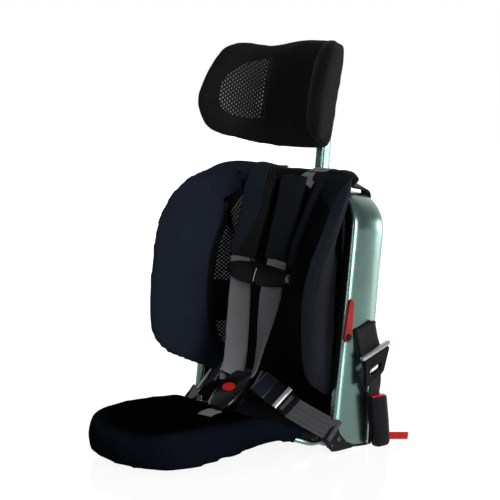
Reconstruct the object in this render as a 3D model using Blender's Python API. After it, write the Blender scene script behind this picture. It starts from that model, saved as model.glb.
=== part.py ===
"""Travel car seat: aluminium hoop frame, folding seat, sliding headrest, five-point harness and anchor belts.

Metres, +Z up. The seat faces -Y. The origin lies on the floor, under the middle of the base crossbar.
Places on the leaning frame are written as (x, depth, height) along the frame's own axes.
"""

import math

import bmesh
import bpy
from mathutils import Matrix, Vector

# Overall
LEAN = math.radians(6.0)
FRAME_BACKSET = -0.014
CLEARANCE = 0.0003
RUNNING_GAP = 0.0006
OVERRUN = 0.01
TABLE_UNIT = 0.1

# Hoop: a wing-section aluminium arch
HOOP_HALF_WIDTH = 0.172
HOOP_HEIGHT = 0.4155
HOOP_THICKNESS = 0.018
HOOP_CORNER = 0.062
HOOP_FOOT_DEPTH = 0.094
HOOP_LEG_TOP_DEPTH = 0.078
HOOP_BRIDGE_DEPTH = 0.066
HOOP_BRIDGE_SHIFT = 0.003
HOOP_WAIST = 0.005
FOOT_THICKNESS = 0.0018
FLANGE_THICKNESS = 0.0018

# Headrest and its post
POST_PLACE = 0.0575
POST_WIDTH = 0.019
POST_DEPTH = 0.022
POST_LOW_END = 0.235
GUIDE_LOW_END = 0.198
GUIDE_RISE = 0.0085
GUIDE_TOP = HOOP_HEIGHT + GUIDE_RISE
GUIDE_WALL = 0.0035
HEADREST_RISE = 0.1495
HEADREST_FORWARD = 0.0014
HEADREST_CENTRE_Z = HOOP_HEIGHT + HEADREST_RISE
HEADREST_CENTRE_Y = FRAME_BACKSET + HEADREST_CENTRE_Z * math.tan(LEAN) - HEADREST_FORWARD
HEADREST_HALF_HEIGHT = 0.093
HEADREST_TILT = math.radians(11.5)
HEADREST_THICKNESS = 0.030
HEADREST_CENTRE_HALF = 0.065
HEADREST_WING = 0.130
HEADREST_FLARE = math.radians(31.0)
HEADREST_BEND = 0.030
SHELL_THICKNESS = 0.0035

# Back and side wings
BACK_RISE = 0.0315
BACK_AHEAD = 0.0417
BACK_SIDE_GAP = 0.005
BACK_TOP = HOOP_HEIGHT + BACK_RISE
BACK_BOTTOM = 0.018
BACK_HALF_WIDTH = HOOP_HALF_WIDTH - HOOP_THICKNESS - BACK_SIDE_GAP
BACK_THICKNESS = 0.008
HOOD_SETBACK = 0.011
HOOD_HALF_WIDTH = BACK_HALF_WIDTH - HOOD_SETBACK
HOOD_OVER_BACK = 0.008
HOOD_HEIGHT = 0.041
HOOD_TOP = BACK_TOP + HOOD_OVER_BACK
HOOD_HALF_DEPTH = 0.021
HOOD_BOTTOM = HOOD_TOP - HOOD_HEIGHT
WING_ROOT_INSET = 0.032
WING_ROOT_X = BACK_HALF_WIDTH - WING_ROOT_INSET
WING_LENGTH = 0.158
WING_THICKNESS = 0.024
WING_FLARE = math.radians(27.0)
WING_TOP_FLARE = math.radians(20.0)

# Seat
SEAT_PIVOT_Y = -0.042
SEAT_PIVOT_Z = 0.014
SEAT_SIDE_GAP = 0.020
SEAT_HALF_WIDTH = HOOP_HALF_WIDTH - HOOP_THICKNESS - SEAT_SIDE_GAP
SEAT_FRONT = 0.370
SEAT_REAR = 0.066
SEAT_RAIL_X = SEAT_HALF_WIDTH
SEAT_RAIL_INSET = 0.018
SEAT_RAIL_DIAMETER = 0.010
SEAT_RAIL_Z = 0.029
SEAT_PAD_TOP = 0.066
SEAT_PAD_RIM = 0.030
SEAT_PAN_THICKNESS = 0.004

# Harness
WEB_WIDTH = 0.038
WEB_THICKNESS = 0.0018
BUCKLE_Y = -0.118
BUCKLE_Z = 0.082
BUCKLE_LENGTH = 0.084
BUCKLE_WIDTH = 0.058
BUCKLE_THICKNESS = 0.026
BUCKLE_TILT = math.radians(34.0)
CHEST_CLIP_DROP = 0.1385
CHEST_CLIP_AHEAD = 0.0917
CHEST_CLIP_Z = HOOP_HEIGHT - CHEST_CLIP_DROP
CHEST_CLIP_Y = FRAME_BACKSET + HOOP_HEIGHT * math.tan(LEAN) - CHEST_CLIP_AHEAD
CHEST_CLIP_LENGTH = 0.118
CHEST_CLIP_HEIGHT = 0.036
PAD_WIDTH = 0.066
PAD_THICKNESS = 0.015

# Anchor belts
CONNECTOR_LENGTH = 0.084
CONNECTOR_WIDTH = 0.036
CONNECTOR_THICKNESS = 0.021

X_AXIS = Vector((1, 0, 0))
Y_AXIS = Vector((0, 1, 0))
Z_AXIS = Vector((0, 0, 1))
FRAME_AXES = Matrix.Translation((0, FRAME_BACKSET, 0)) @ Matrix.Rotation(-LEAN, 4, "X")
SIDES = (("left", -1), ("right", 1))


# Scene and materials


def clear_scene():
    for obj in list(bpy.data.objects):
        bpy.data.objects.remove(obj)


def look(name, colour, roughness, metallic=0.0):
    material = bpy.data.materials.get(name) or bpy.data.materials.new(name)
    material.use_nodes = True
    shader = material.node_tree.nodes["Principled BSDF"]
    shader.inputs["Base Color"].default_value = (*colour, 1)
    shader.inputs["Roughness"].default_value = roughness
    shader.inputs["Metallic"].default_value = metallic
    material.diffuse_color = (*colour, 1)
    return material


def aluminium():
    return look("green_anodised_aluminium", (0.118, 0.235, 0.19), 0.32, 0.9)


def black_plastic():
    return look("black_plastic", (0.012, 0.012, 0.013), 0.38)


def red_plastic():
    return look("red_plastic", (0.48, 0.024, 0.014), 0.36)


def black_knit():
    return look("black_knit", (0.006, 0.006, 0.007), 0.92)


def navy_fabric():
    return look("navy_fabric", (0.010, 0.016, 0.029), 0.84)


def grey_webbing():
    return look("grey_webbing", (0.098, 0.098, 0.100), 0.8)


def dark_webbing():
    return look("dark_webbing", (0.040, 0.042, 0.044), 0.8)


def bright_metal():
    return look("bright_metal", (0.58, 0.58, 0.57), 0.3, 1.0)


def black_steel():
    return look("black_steel", (0.02, 0.02, 0.021), 0.35, 0.9)


def add_object(name, bm, material, axes=None, smooth_angle=math.radians(40)):
    """Links the shape as an object placed by the matrix axes, with its faces pointing out."""
    bmesh.ops.recalc_face_normals(bm, faces=bm.faces)
    mesh = bpy.data.meshes.new(name)
    bm.to_mesh(mesh)
    bm.free()
    obj = bpy.data.objects.new(name, mesh)
    bpy.context.scene.collection.objects.link(obj)
    if axes is not None:
        obj.matrix_world = axes
    if material is not None:
        mesh.materials.append(material)
    mesh.shade_smooth()
    mesh.set_sharp_from_angle(angle=smooth_angle)
    return obj


def hide_tool(obj):
    obj.hide_render = True
    obj.display_type = "WIRE"
    obj.hide_set(True)


def boolean(obj, tool, operation="DIFFERENCE"):
    modifier = obj.modifiers.new(tool.name, "BOOLEAN")
    modifier.operation = operation
    modifier.object = tool
    modifier.solver = "EXACT"
    hide_tool(tool)


def bevel(obj, width, segments=2, angle=math.radians(40)):
    modifier = obj.modifiers.new("edges", "BEVEL")
    modifier.width = width
    modifier.segments = segments
    modifier.limit_method = "ANGLE"
    modifier.angle_limit = angle


# Shapes


def box_shape(size, centre=(0, 0, 0)):
    bm = bmesh.new()
    bmesh.ops.create_cube(bm, size=1)
    bmesh.ops.scale(bm, vec=size, verts=bm.verts)
    bmesh.ops.translate(bm, vec=centre, verts=bm.verts)
    return bm


def rod_shape(radius, length, sides=20, axis="X", centre=(0, 0, 0), head=None):
    """A round bar along an axis. head is (radius, length) of a wider end on its + side."""
    profile = [(radius, -length / 2), (radius, length / 2)]
    if head:
        profile = profile + [(head[0], length / 2), (head[0], length / 2 + head[1])]
    rings = []
    for ring_radius, along in profile:
        ring = []
        for side in range(sides):
            turn = 2 * math.pi * side / sides
            ring.append(Vector((ring_radius * math.cos(turn), ring_radius * math.sin(turn), along)))
        rings.append(ring)
    bm = loft(rings)
    turns = {"X": Matrix.Rotation(math.pi / 2, 3, "Y"), "Y": Matrix.Rotation(-math.pi / 2, 3, "X")}
    if axis in turns:
        bmesh.ops.rotate(bm, matrix=turns[axis], verts=bm.verts)
    bmesh.ops.translate(bm, vec=centre, verts=bm.verts)
    return bm


def loft(rings):
    """A closed solid through rings of one point count, with a flat face on each end."""
    bm = bmesh.new()
    loops = [[bm.verts.new(point) for point in ring] for ring in rings]
    count = len(loops[0])
    for near, far in zip(loops, loops[1:]):
        for index in range(count):
            following = (index + 1) % count
            bm.faces.new((near[index], near[following], far[following], far[index]))
    bm.faces.new(list(reversed(loops[0])))
    bm.faces.new(loops[-1])
    return bm


def rounded_ring(half_a, half_b, power, count):
    """Points of a superellipse: power 2 is an ellipse and a higher one is squarer."""
    ring = []
    for index in range(count):
        turn = 2 * math.pi * (index + 0.5) / count
        cosine, sine = math.cos(turn), math.sin(turn)
        a = half_a * math.copysign(abs(cosine) ** (2 / power), cosine)
        b = half_b * math.copysign(abs(sine) ** (2 / power), sine)
        ring.append((a, b))
    return ring


def extruded(outline, thickness, origin, across, up):
    """A flat plate: outline points along two directions, thick about its middle plane."""
    across, up = Vector(across).normalized(), Vector(up).normalized()
    out = across.cross(up).normalized()
    rings = []
    for side in (-thickness / 2, thickness / 2):
        rings.append([Vector(origin) + across * a + up * b + out * side for a, b in outline])
    return loft(rings)


def smooth_path(points, steps, closed=False):
    """A Catmull-Rom curve through hand-chosen points."""
    points = [Vector(point) for point in points]
    count = len(points)
    spans = count if closed else count - 1
    curve = []
    for span in range(spans):
        if closed:
            four = [points[(span + shift) % count] for shift in (-1, 0, 1, 2)]
        else:
            four = [points[min(max(span + shift, 0), count - 1)] for shift in (-1, 0, 1, 2)]
        for step in range(steps):
            t = step / steps
            before, start, end, after = four
            curve.append(
                0.5
                * (
                    2 * start
                    + (end - before) * t
                    + (2 * before - 5 * start + 4 * end - after) * t * t
                    + (3 * start - before - 3 * end + after) * t * t * t
                )
            )
    if not closed:
        curve.append(points[-1])
    return curve


def smooth_outline(shares, half_a, half_b, steps):
    """A closed outline from shares of two half sizes."""
    points = [(a * half_a, b * half_b, 0) for a, b in shares]
    return [(point.x, point.y) for point in smooth_path(points, steps, closed=True)]


def cushion(outline, rings, place, front, rear, power=2.6, centre=(0, 0), rear_power=None):
    """A cushion or a bent plate: rings shrink from the rim, and place(a, b, n) bends them into space.

    front(a, b) and rear(a, b) are how far each face stands off the middle surface.
    """
    bm = bmesh.new()
    count = len(outline)
    rims = []
    for side, swell, squareness in ((1, front, power), (-1, rear, rear_power or power)):
        loops = []
        for step in range(rings, 0, -1):
            reach = math.sin(math.pi / 2 * step / rings)
            crown = max(1 - reach**squareness, 0) ** (1 / squareness)
            loop = []
            for a, b in outline:
                a, b = mix(centre[0], a, reach), mix(centre[1], b, reach)
                loop.append(bm.verts.new(place(a, b, side * swell(a, b) * crown)))
            loops.append(loop)
        middle = bm.verts.new(place(centre[0], centre[1], side * swell(*centre)))
        for index in range(count):
            following = (index + 1) % count
            for outer, inner in zip(loops, loops[1:]):
                bm.faces.new((outer[index], outer[following], inner[following], inner[index]))
            bm.faces.new((loops[-1][index], loops[-1][following], middle))
        rims.append(loops[0])
    for index in range(count):
        following = (index + 1) % count
        bm.faces.new((rims[0][index], rims[1][index], rims[1][following], rims[0][following]))
    bmesh.ops.remove_doubles(bm, verts=bm.verts, dist=CLEARANCE / 100)
    return bm


def ribbon(path, across, width, thickness, strips=1):
    """Webbing: a flat band along a path. across(share) gives its width direction along its length."""
    places = [2 * strip / strips - 1 for strip in range(strips + 1)]
    corners = [(a, -1) for a in places] + [(a, 1) for a in reversed(places)]
    rings = []
    last = len(path) - 1
    for index, point in enumerate(path):
        along = (path[min(index + 1, last)] - path[max(index - 1, 0)]).normalized()
        side = Vector(across(index / last))
        side = (side - along * side.dot(along)).normalized()
        out = along.cross(side)
        rings.append([point + side * (a * width / 2) + out * (b * thickness / 2) for a, b in corners])
    return loft(rings)


def mix(first, second, share):
    return first + (second - first) * share


def frame_point(x, depth, height):
    return FRAME_AXES @ Vector((x, depth, height))


# Hoop frame


LEG_HEIGHT = HOOP_HEIGHT - HOOP_CORNER
HOOP_LEG_X = HOOP_HALF_WIDTH - HOOP_THICKNESS / 2
HOOP_INNER_X = HOOP_HALF_WIDTH - HOOP_THICKNESS
FOOT_LOW = HOOP_FOOT_DEPTH / 2 * math.tan(LEAN)
FOOT_CUT = FOOT_LOW + FOOT_THICKNESS + FLANGE_THICKNESS + 2 * CLEARANCE


def leg_depths(height):
    """Front and rear reach of the leg's section at a height, along the frame's depth."""
    share = min(max(height / LEG_HEIGHT, 0), 1)
    half = mix(HOOP_FOOT_DEPTH, HOOP_LEG_TOP_DEPTH, share) / 2
    return -half, half - HOOP_WAIST * math.sin(math.pi * share)


def bridge_depths(share):
    """Front and rear reach round the corner, from the leg at 0 to the bridge at 1."""
    half = mix(HOOP_LEG_TOP_DEPTH, HOOP_BRIDGE_DEPTH, share) / 2
    shift = HOOP_BRIDGE_SHIFT * share
    return shift - half, shift + half


def hoop_stations():
    """Stations from the right foot round to the left one: x, height, turn, and front and rear reach."""
    corner = HOOP_CORNER - HOOP_THICKNESS / 2
    corner_x = HOOP_HALF_WIDTH - HOOP_CORNER
    leg_steps = 5
    corner_steps = 7
    half = []
    for step in range(leg_steps + 1):
        height = mix(FOOT_CUT, LEG_HEIGHT, step / leg_steps)
        half.append((HOOP_LEG_X, height, 0.0, *leg_depths(height)))
    for step in range(1, corner_steps + 1):
        turn = math.pi / 2 * step / corner_steps
        x = corner_x + corner * math.cos(turn)
        height = LEG_HEIGHT + corner * math.sin(turn)
        half.append((x, height, turn, *bridge_depths(step / corner_steps)))
    other = [(-x, height, math.pi - turn, front, rear) for x, height, turn, front, rear in reversed(half)]
    return half + other


def wing_ring(x, height, turn, front, rear, thickness=HOOP_THICKNESS, count=20):
    """One ring of the hoop's section: out is its thickness direction, +X on the right leg."""
    out = Vector((math.cos(turn), 0, math.sin(turn)))
    middle = Vector((x, (front + rear) / 2, height))
    section = rounded_ring(thickness / 2, (rear - front) / 2, 3.2, count)
    return [middle + out * a + Y_AXIS * b for a, b in section]


def build_hoop():
    rings = [wing_ring(*station) for station in hoop_stations()]
    add_object("frame_hoop", loft(rings), aluminium(), FRAME_AXES)


def build_feet():
    """A thin cap under each leg, square to the lean, that touches the floor along its rear edge."""
    front, rear = leg_depths(0)
    for side, sign in SIDES:
        low = wing_ring(sign * HOOP_LEG_X, FOOT_LOW, 0, front, rear)
        top = [point + Z_AXIS * FOOT_THICKNESS for point in low]
        add_object(f"foot_{side}", loft([low, top]), black_plastic(), FRAME_AXES)


def build_base():
    """The flat crossbar that the seat stands on, with a lug behind each leg for two screws."""
    bar_depth = 0.046
    bar_height = 0.011
    bar_wall = 0.003
    lug_height = 0.034
    lug_wall = 0.003
    lug_reach = 0.014
    inner = HOOP_INNER_X - CLEARANCE
    bar = box_shape((2 * inner, bar_depth, bar_height), (0, 0, bar_height / 2))
    obj = add_object("base_crossbar", bar, aluminium())
    groove_size = (2 * (inner - lug_reach), bar_depth - 2 * bar_wall, bar_height)
    groove = box_shape(groove_size, (0, 0, bar_wall + bar_height / 2))
    boolean(obj, add_object("base_groove", groove, None))
    lug_front = frame_point(0, leg_depths(lug_height)[1], lug_height).y + CLEARANCE
    for side, sign in SIDES:
        outline = [
            (inner - lug_wall, bar_depth / 2 - bar_wall),
            (inner, bar_depth / 2 - bar_wall),
            (inner, lug_front),
            (inner + lug_reach, lug_front),
            (inner + lug_reach, lug_front + lug_wall),
            (inner - lug_wall, lug_front + lug_wall),
        ]
        outline = [(sign * x, y) for x, y in outline]
        lug = extruded(outline, lug_height, (0, 0, lug_height / 2), X_AXIS, Y_AXIS)
        boolean(obj, add_object(f"rear_lug_{side}", lug, None), "UNION")


def build_guide():
    """The sleeve that the headrest post slides in, on a brace between the legs and a saddle on the hoop."""
    brace_height = 0.236
    brace_tall = 0.030
    brace_thick = 0.006
    half_x = POST_WIDTH / 2 + RUNNING_GAP
    half_y = POST_DEPTH / 2 + RUNNING_GAP
    brace_rear = POST_PLACE - half_y - GUIDE_WALL - CLEARANCE
    inner = HOOP_INNER_X - CLEARANCE
    brace = box_shape((2 * inner, brace_thick, brace_tall), (0, brace_rear - brace_thick / 2, brace_height))
    obj = add_object("rear_brace", brace, aluminium(), FRAME_AXES)
    bevel(obj, brace_thick / 6)

    middle = (GUIDE_LOW_END + GUIDE_TOP) / 2
    length = GUIDE_TOP - GUIDE_LOW_END
    sleeve_size = (2 * (half_x + GUIDE_WALL), 2 * (half_y + GUIDE_WALL), length)
    sleeve = add_object("post_guide", box_shape(sleeve_size, (0, POST_PLACE, middle)), black_plastic(), FRAME_AXES)
    bevel(sleeve, GUIDE_WALL)
    saddle_width = 0.060
    saddle_tall = 0.024
    bridge_rear = bridge_depths(1)[1]
    saddle_front = bridge_rear + CLEARANCE
    saddle_rear = POST_PLACE + half_y
    saddle_place = (0, (saddle_front + saddle_rear) / 2, HOOP_HEIGHT - HOOP_THICKNESS / 2)
    saddle = box_shape((saddle_width, saddle_rear - saddle_front, saddle_tall), saddle_place)
    boolean(sleeve, add_object("guide_saddle", saddle, None, FRAME_AXES), "UNION")
    bore_size = (2 * half_x, 2 * half_y, length + OVERRUN)
    bore = add_object("guide_bore", box_shape(bore_size, (0, POST_PLACE, middle)), None, FRAME_AXES)
    bevel(bore, POST_WIDTH / 5)
    boolean(sleeve, bore)

    button_width = 0.024
    button_tall = 0.034
    button_travel = 0.0025
    boss_depth = 0.006
    boss_wall = 0.003
    guide_rear = POST_PLACE + half_y + GUIDE_WALL
    button_height = GUIDE_TOP - button_tall
    boss_size = (button_width + 2 * boss_wall, boss_depth + GUIDE_WALL / 2, button_tall + 2 * boss_wall)
    boss_place = (0, guide_rear + boss_depth / 2 - GUIDE_WALL / 4, button_height)
    boolean(sleeve, add_object("button_boss", box_shape(boss_size, boss_place), None, FRAME_AXES), "UNION")
    pocket_size = (button_width + 2 * CLEARANCE, boss_depth + OVERRUN, button_tall + 2 * CLEARANCE)
    pocket_place = (0, guide_rear + (boss_depth + OVERRUN) / 2, button_height)
    boolean(sleeve, add_object("button_pocket", box_shape(pocket_size, pocket_place), None, FRAME_AXES))
    button_depth = boss_depth
    button_front = guide_rear + button_travel + CLEARANCE
    button = box_shape(
        (button_width, button_depth, button_tall),
        (0, button_front + button_depth / 2, button_height),
    )
    add_object("height_button", button, black_plastic(), FRAME_AXES)


BRACKET_SHARES = (
    (-0.835, 0.27), (-0.72, 0.155), (-0.62, 0.06), (-0.10, 0.045), (-0.34, 0.50), (-0.42, 0.565), (-0.48, 0.555),
)


def build_brackets():
    """Black plates on the outer face of each leg, with a slot for the hip webbing and a flange under the leg."""
    plate = 0.003
    face = HOOP_HALF_WIDTH + CLEARANCE
    front, rear = leg_depths(0)
    for side, sign in SIDES:
        outline = [(y * TABLE_UNIT, z * TABLE_UNIT) for y, z in BRACKET_SHARES]
        place = (sign * (face + plate / 2), 0, 0)
        obj = add_object(f"hip_bracket_{side}", extruded(outline, plate, place, Y_AXIS, Z_AXIS), black_steel())
        flange_x = sign * (HOOP_LEG_X + plate / 2)
        top = wing_ring(flange_x, FOOT_CUT - CLEARANCE, 0, front, rear, HOOP_THICKNESS + plate)
        low = [point - Z_AXIS * FLANGE_THICKNESS for point in top]
        flange = add_object(f"flange_{side}", loft([low, top]), None, FRAME_AXES)
        boolean(obj, flange, "UNION")
        fold = box_shape(
            (plate, (rear - front) / 2, plate * 3),
            (sign * (face + plate / 2), front / 2, FOOT_CUT - CLEARANCE - FLANGE_THICKNESS + plate * 1.5),
        )
        boolean(obj, add_object(f"flange_fold_{side}", fold, None, FRAME_AXES), "UNION")
        webbing = ribbon(hip_path(sign), hip_across(sign), WEB_WIDTH + 4 * CLEARANCE, WEB_THICKNESS * 2, 3)
        boolean(obj, add_object(f"hip_slot_{side}", webbing, None))


# Headrest


def headrest_curve(along):
    """Place, run and facing of the C-shaped headrest at a distance from its middle, seen from above.

    x runs to the side and f runs forward.
    """
    sign = math.copysign(1, along)
    reach = abs(along)
    turn_total = math.pi / 2 - HEADREST_FLARE
    arc = HEADREST_BEND * turn_total
    flat = HEADREST_CENTRE_HALF - arc / 2
    if reach <= flat:
        x, f, turn = reach, 0.0, 0.0
    elif reach <= flat + arc:
        turn = (reach - flat) / HEADREST_BEND
        x = flat + HEADREST_BEND * math.sin(turn)
        f = HEADREST_BEND * (1 - math.cos(turn))
    else:
        turn = turn_total
        rest = reach - flat - arc
        x = flat + HEADREST_BEND * math.sin(turn) + rest * math.cos(turn)
        f = HEADREST_BEND * (1 - math.cos(turn)) + rest * math.sin(turn)
    return sign * x, f, sign * turn


def headrest_place(along, up, out):
    """A point of the headrest: along the C, up its leaning height and out of its front face."""
    x, f, turn = headrest_curve(along)
    x = x - out * math.sin(turn)
    f = f + out * math.cos(turn)
    forward = Vector((0, -math.cos(HEADREST_TILT), math.sin(HEADREST_TILT)))
    upward = Vector((0, math.sin(HEADREST_TILT), math.cos(HEADREST_TILT)))
    middle = Vector((0, HEADREST_CENTRE_Y, HEADREST_CENTRE_Z))
    return middle + X_AXIS * x + forward * f + upward * up


HEADREST_TOP_SHARES = (
    (0.0, 0.97), (0.25, 0.97), (0.36, 0.93), (0.50, 0.94), (0.62, 0.97), (0.72, 0.94), (0.84, 0.80), (0.94, 0.48),
    (1.0, 0.10),
)
HEADREST_LOW_SHARES = ((0.0, -1.0), (0.38, -0.98), (0.60, -0.94), (0.80, -0.89), (0.92, -0.82), (1.0, -0.68))


def headrest_loft(reach_share, height_share, near, far, stations=23):
    """Rings round the C of the headrest, between two distances out of its middle surface."""
    half_length = HEADREST_CENTRE_HALF + HEADREST_WING
    rings = []
    for station in range(stations):
        turn = math.pi * station / (stations - 1)
        share = -math.cos(turn)
        closing = max(1 - abs(share) ** 12, 0.1)
        top = table(HEADREST_TOP_SHARES, abs(share))
        low = table(HEADREST_LOW_SHARES, abs(share))
        half = (top - low) / 2 * closing**0.5 * height_share
        middle = mix(low, top, 0.5)
        ring = []
        for a, b in rounded_ring(1, 1, 4.0, 20):
            up = (middle * height_share + b * half) * HEADREST_HALF_HEIGHT
            out = mix(near, far, 0.5) + a * (far - near) / 2 * closing**0.3
            ring.append(headrest_place(share * half_length * reach_share, up, out))
        rings.append(ring)
    return loft(rings)


def mirrored_shares(shares):
    """Closes a right half outline with its mirror image."""
    left = [(-a, b) for a, b in reversed(shares) if a > 0]
    return list(shares) + [(0.0, shares[-1][1])] + left


def build_headrest():
    swell = HEADREST_THICKNESS / 2
    add_object("headrest_pad", headrest_loft(1, 1, -swell, swell), black_knit())
    shell_share = 0.24
    shell_front = swell + CLEARANCE
    shell = headrest_loft(shell_share, shell_share, -shell_front - SHELL_THICKNESS, -shell_front)
    shell = add_object("headrest_shell", shell, black_plastic())

    shell_rear = headrest_place(0, 0, -shell_front - SHELL_THICKNESS)
    mount_height = HEADREST_HALF_HEIGHT * 0.38
    mount_width = POST_WIDTH * 1.9
    into_frame = FRAME_AXES.inverted()
    front_depth = (into_frame @ shell_rear).y - SHELL_THICKNESS / 2
    rear_depth = POST_PLACE - POST_DEPTH / 2 - CLEARANCE
    place = (0, (front_depth + rear_depth) / 2, (into_frame @ shell_rear).z)
    mount = box_shape((mount_width, rear_depth - front_depth, mount_height), place)
    mount = add_object("headrest_mount", mount, None, FRAME_AXES)
    boolean(shell, mount, "UNION")

    post_top = (into_frame @ shell_rear).z + mount_height / 2
    rings = []
    for height in (POST_LOW_END, post_top):
        section = rounded_ring(POST_WIDTH / 2, POST_DEPTH / 2, 4.5, 20)
        rings.append([Vector((a, POST_PLACE + b, height)) for a, b in section])
    add_object("headrest_post", loft(rings), aluminium(), FRAME_AXES)


# Back and side wings


BACK_PROFILE_SHARES = (
    (0.0, 1.04), (0.18, 1.0), (0.305, 0.95), (0.468, 0.78), (0.656, 0.5), (0.82, 0.16), (0.902, 0.0), (0.959, 0.08),
    (1.0, 0.2),
)
BACK_SIDE_SHARES = ((0.0, 1.04), (0.15, 0.95), (0.27, 0.40), (0.66, 0.40), (0.82, 0.16), (0.902, 0.0), (1.0, 0.2))
BACK_FRONT_Y = FRAME_BACKSET + HOOP_HEIGHT * math.tan(LEAN) - BACK_AHEAD
BACK_HOLLOW = 0.046
BACK_OUTLINE_SHARES = (
    (0.0, -1.0), (0.5, -1.0), (0.94, -0.99), (1.0, -0.93), (1.0, -0.5), (1.0, 0.0), (1.0, 0.35), (0.995, 0.52),
    (0.975, 0.62), (0.935, 0.71), (0.90, 0.78), (0.87, 0.84), (0.85, 0.90), (0.83, 0.96), (0.75, 1.0),
)
HOOD_STATION_SHARES = (-1, -0.99, -0.96, -0.9, -0.75, -0.5, 0, 0.5, 0.75, 0.9, 0.96, 0.99, 1)
WING_BOTTOM = 0.078
WING_BELOW_BACK = 0.001
WING_TOP = BACK_TOP - WING_BELOW_BACK
WING_RELIEF = 0.019
WING_OUTLINE_SHARES = (
    (-0.03, 0.985), (0.08, 1.0), (0.2, 1.0), (0.36, 0.985), (0.56, 0.935), (0.78, 0.83), (0.92, 0.71), (0.985, 0.56),
    (1.02, 0.38), (1.0, 0.21), (0.79, 0.10), (0.41, 0.03), (0.2, 0.0), (0.03, 0.015), (-0.1, 0.15),
    (-0.13, 0.4), (-0.1, 0.6), (-0.02, 0.74), (0.0, 0.9),
)
WING_FLARE_SHARES = ((0.0, 0.0), (0.5, 0.0), (0.66, 0.25), (0.80, 0.75), (0.93, 1.0), (1.0, 1.1))
WING_SETTLE_X = 0.020
WING_SETTLE_Y = 0.020
WING_SETTLE_SHARES = ((0.0, 0.0), (0.66, 0.0), (0.80, 0.28), (0.92, 0.72), (1.0, 1.0))
WING_RELIEF_SHARES = ((0.0, 0.0), (0.62, 0.0), (0.74, 0.9), (0.82, 1.0), (0.91, 1.0), (0.97, 0.4), (1.0, 0.0))


def table(shares, at):
    """Reads a table of (place, value) shares, straight between its rows."""
    if at <= shares[0][0]:
        return shares[0][1]
    for (low, first), (high, second) in zip(shares, shares[1:]):
        if at <= high:
            return mix(first, second, (at - low) / (high - low))
    return shares[-1][1]


def back_middle_y(x, z):
    """Y of the back's front face."""
    share = (z - BACK_BOTTOM) / (BACK_TOP - BACK_BOTTOM)
    centre = table(BACK_PROFILE_SHARES, share)
    side = min(centre, table(BACK_SIDE_SHARES, share))
    return BACK_FRONT_Y + BACK_HOLLOW * mix(centre, side, min(abs(x) / BACK_HALF_WIDTH, 1) ** 1.6)


def back_shape(front, rear, spread=1):
    """The sling's solid between two distances off its middle surface."""
    middle = (BACK_TOP + BACK_BOTTOM) / 2

    def place(x, up, out):
        z = middle + up
        return Vector((x, back_middle_y(x, z) + BACK_THICKNESS / 2 - out, z))

    shares = mirrored_shares(BACK_OUTLINE_SHARES)
    half_height = (BACK_TOP - BACK_BOTTOM) / 2
    outline = smooth_outline(shares, BACK_HALF_WIDTH * spread, half_height * spread, 2)
    return cushion(outline, 8, place, lambda a, b: front, lambda a, b: rear, power=5)


def back_keep_out():
    """The room of the back, and behind it, that the side wings are trimmed to."""
    swell = BACK_THICKNESS / 2
    tool = add_object("back_keep_out", back_shape(swell + 4 * CLEARANCE, swell + 4 * OVERRUN, 1.04), None)
    hide_tool(tool)
    return tool


def build_back():
    swell = BACK_THICKNESS / 2
    add_object("back_panel", back_shape(swell, swell), black_knit())

    add_object("back_hood", hood_shape(0), black_knit())


def hood_shape(grow):
    """The padded roll along the top of the back, or its room when grown."""
    hood_y = BACK_FRONT_Y + BACK_HOLLOW * 0.2 + BACK_THICKNESS + HOOD_HALF_DEPTH + RUNNING_GAP
    half_tall = (HOOD_TOP - HOOD_BOTTOM) / 2
    rings = []
    for share in HOOD_STATION_SHARES:
        closing = max(1 - abs(share) ** 8, 0.08) ** 0.4
        half_y = HOOD_HALF_DEPTH * mix(0.6, 1, closing) + grow
        section = rounded_ring(half_y, half_tall * closing + grow, 4.0, 20)
        middle = Vector((share * (HOOD_HALF_WIDTH + grow), hood_y, HOOD_BOTTOM + half_tall * mix(closing, 1, 0.6)))
        rings.append([middle + Vector((0, a, b)) for a, b in section])
    return loft(rings)


def wing_place(sign, along, z, out):
    """A point of a side wing: along its flare from the root, at a height, out of its inner face."""
    share = (z - WING_BOTTOM) / (WING_TOP - WING_BOTTOM)
    relief = WING_RELIEF * table(WING_RELIEF_SHARES, share) * (1 - along / WING_LENGTH)
    flare = WING_FLARE + WING_TOP_FLARE * table(WING_FLARE_SHARES, share)
    settle = table(WING_SETTLE_SHARES, share)
    x = WING_ROOT_X + WING_SETTLE_X * settle + along * math.sin(flare) - out * math.cos(flare)
    y = WING_SETTLE_Y * settle - along * math.cos(flare) - out * math.sin(flare) - relief
    return Vector((sign * x, y, z))


def build_wings():
    height = WING_TOP - WING_BOTTOM
    centre = (WING_LENGTH / 2, WING_BOTTOM + height / 2)
    points = [(a * WING_LENGTH, WING_BOTTOM + b * height, 0) for a, b in WING_OUTLINE_SHARES]
    outline = [(point.x, point.y) for point in smooth_path(points, 2, closed=True)]

    keep_out = back_keep_out()
    hood_room = add_object("hood_room", hood_shape(2 * CLEARANCE), None)

    def swell(along, z):
        return WING_THICKNESS / 2 * mix(0.6, 1.0, min(along / (WING_LENGTH / 2), 1))

    for side, sign in SIDES:
        bm = cushion(
            outline,
            6,
            lambda a, b, n: wing_place(sign, a, b, n),
            swell,
            swell,
            power=2.6,
            centre=centre,
        )
        wing = add_object(f"side_wing_{side}", bm, navy_fabric())
        boolean(wing, keep_out)
        boolean(wing, hood_room)


# Seat


def seat_outline(inset, steps=3):
    """Plan of the seat: x and distance ahead of the origin, drawn in by an inset."""
    half_x = SEAT_HALF_WIDTH - inset
    length = SEAT_FRONT - SEAT_REAR - 2 * inset
    shares = mirrored_shares(SEAT_OUTLINE_SHARES)
    outline = smooth_outline(shares, half_x, length / 2, steps)
    return [(x, y - (SEAT_FRONT + SEAT_REAR) / 2) for x, y in outline]


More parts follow.
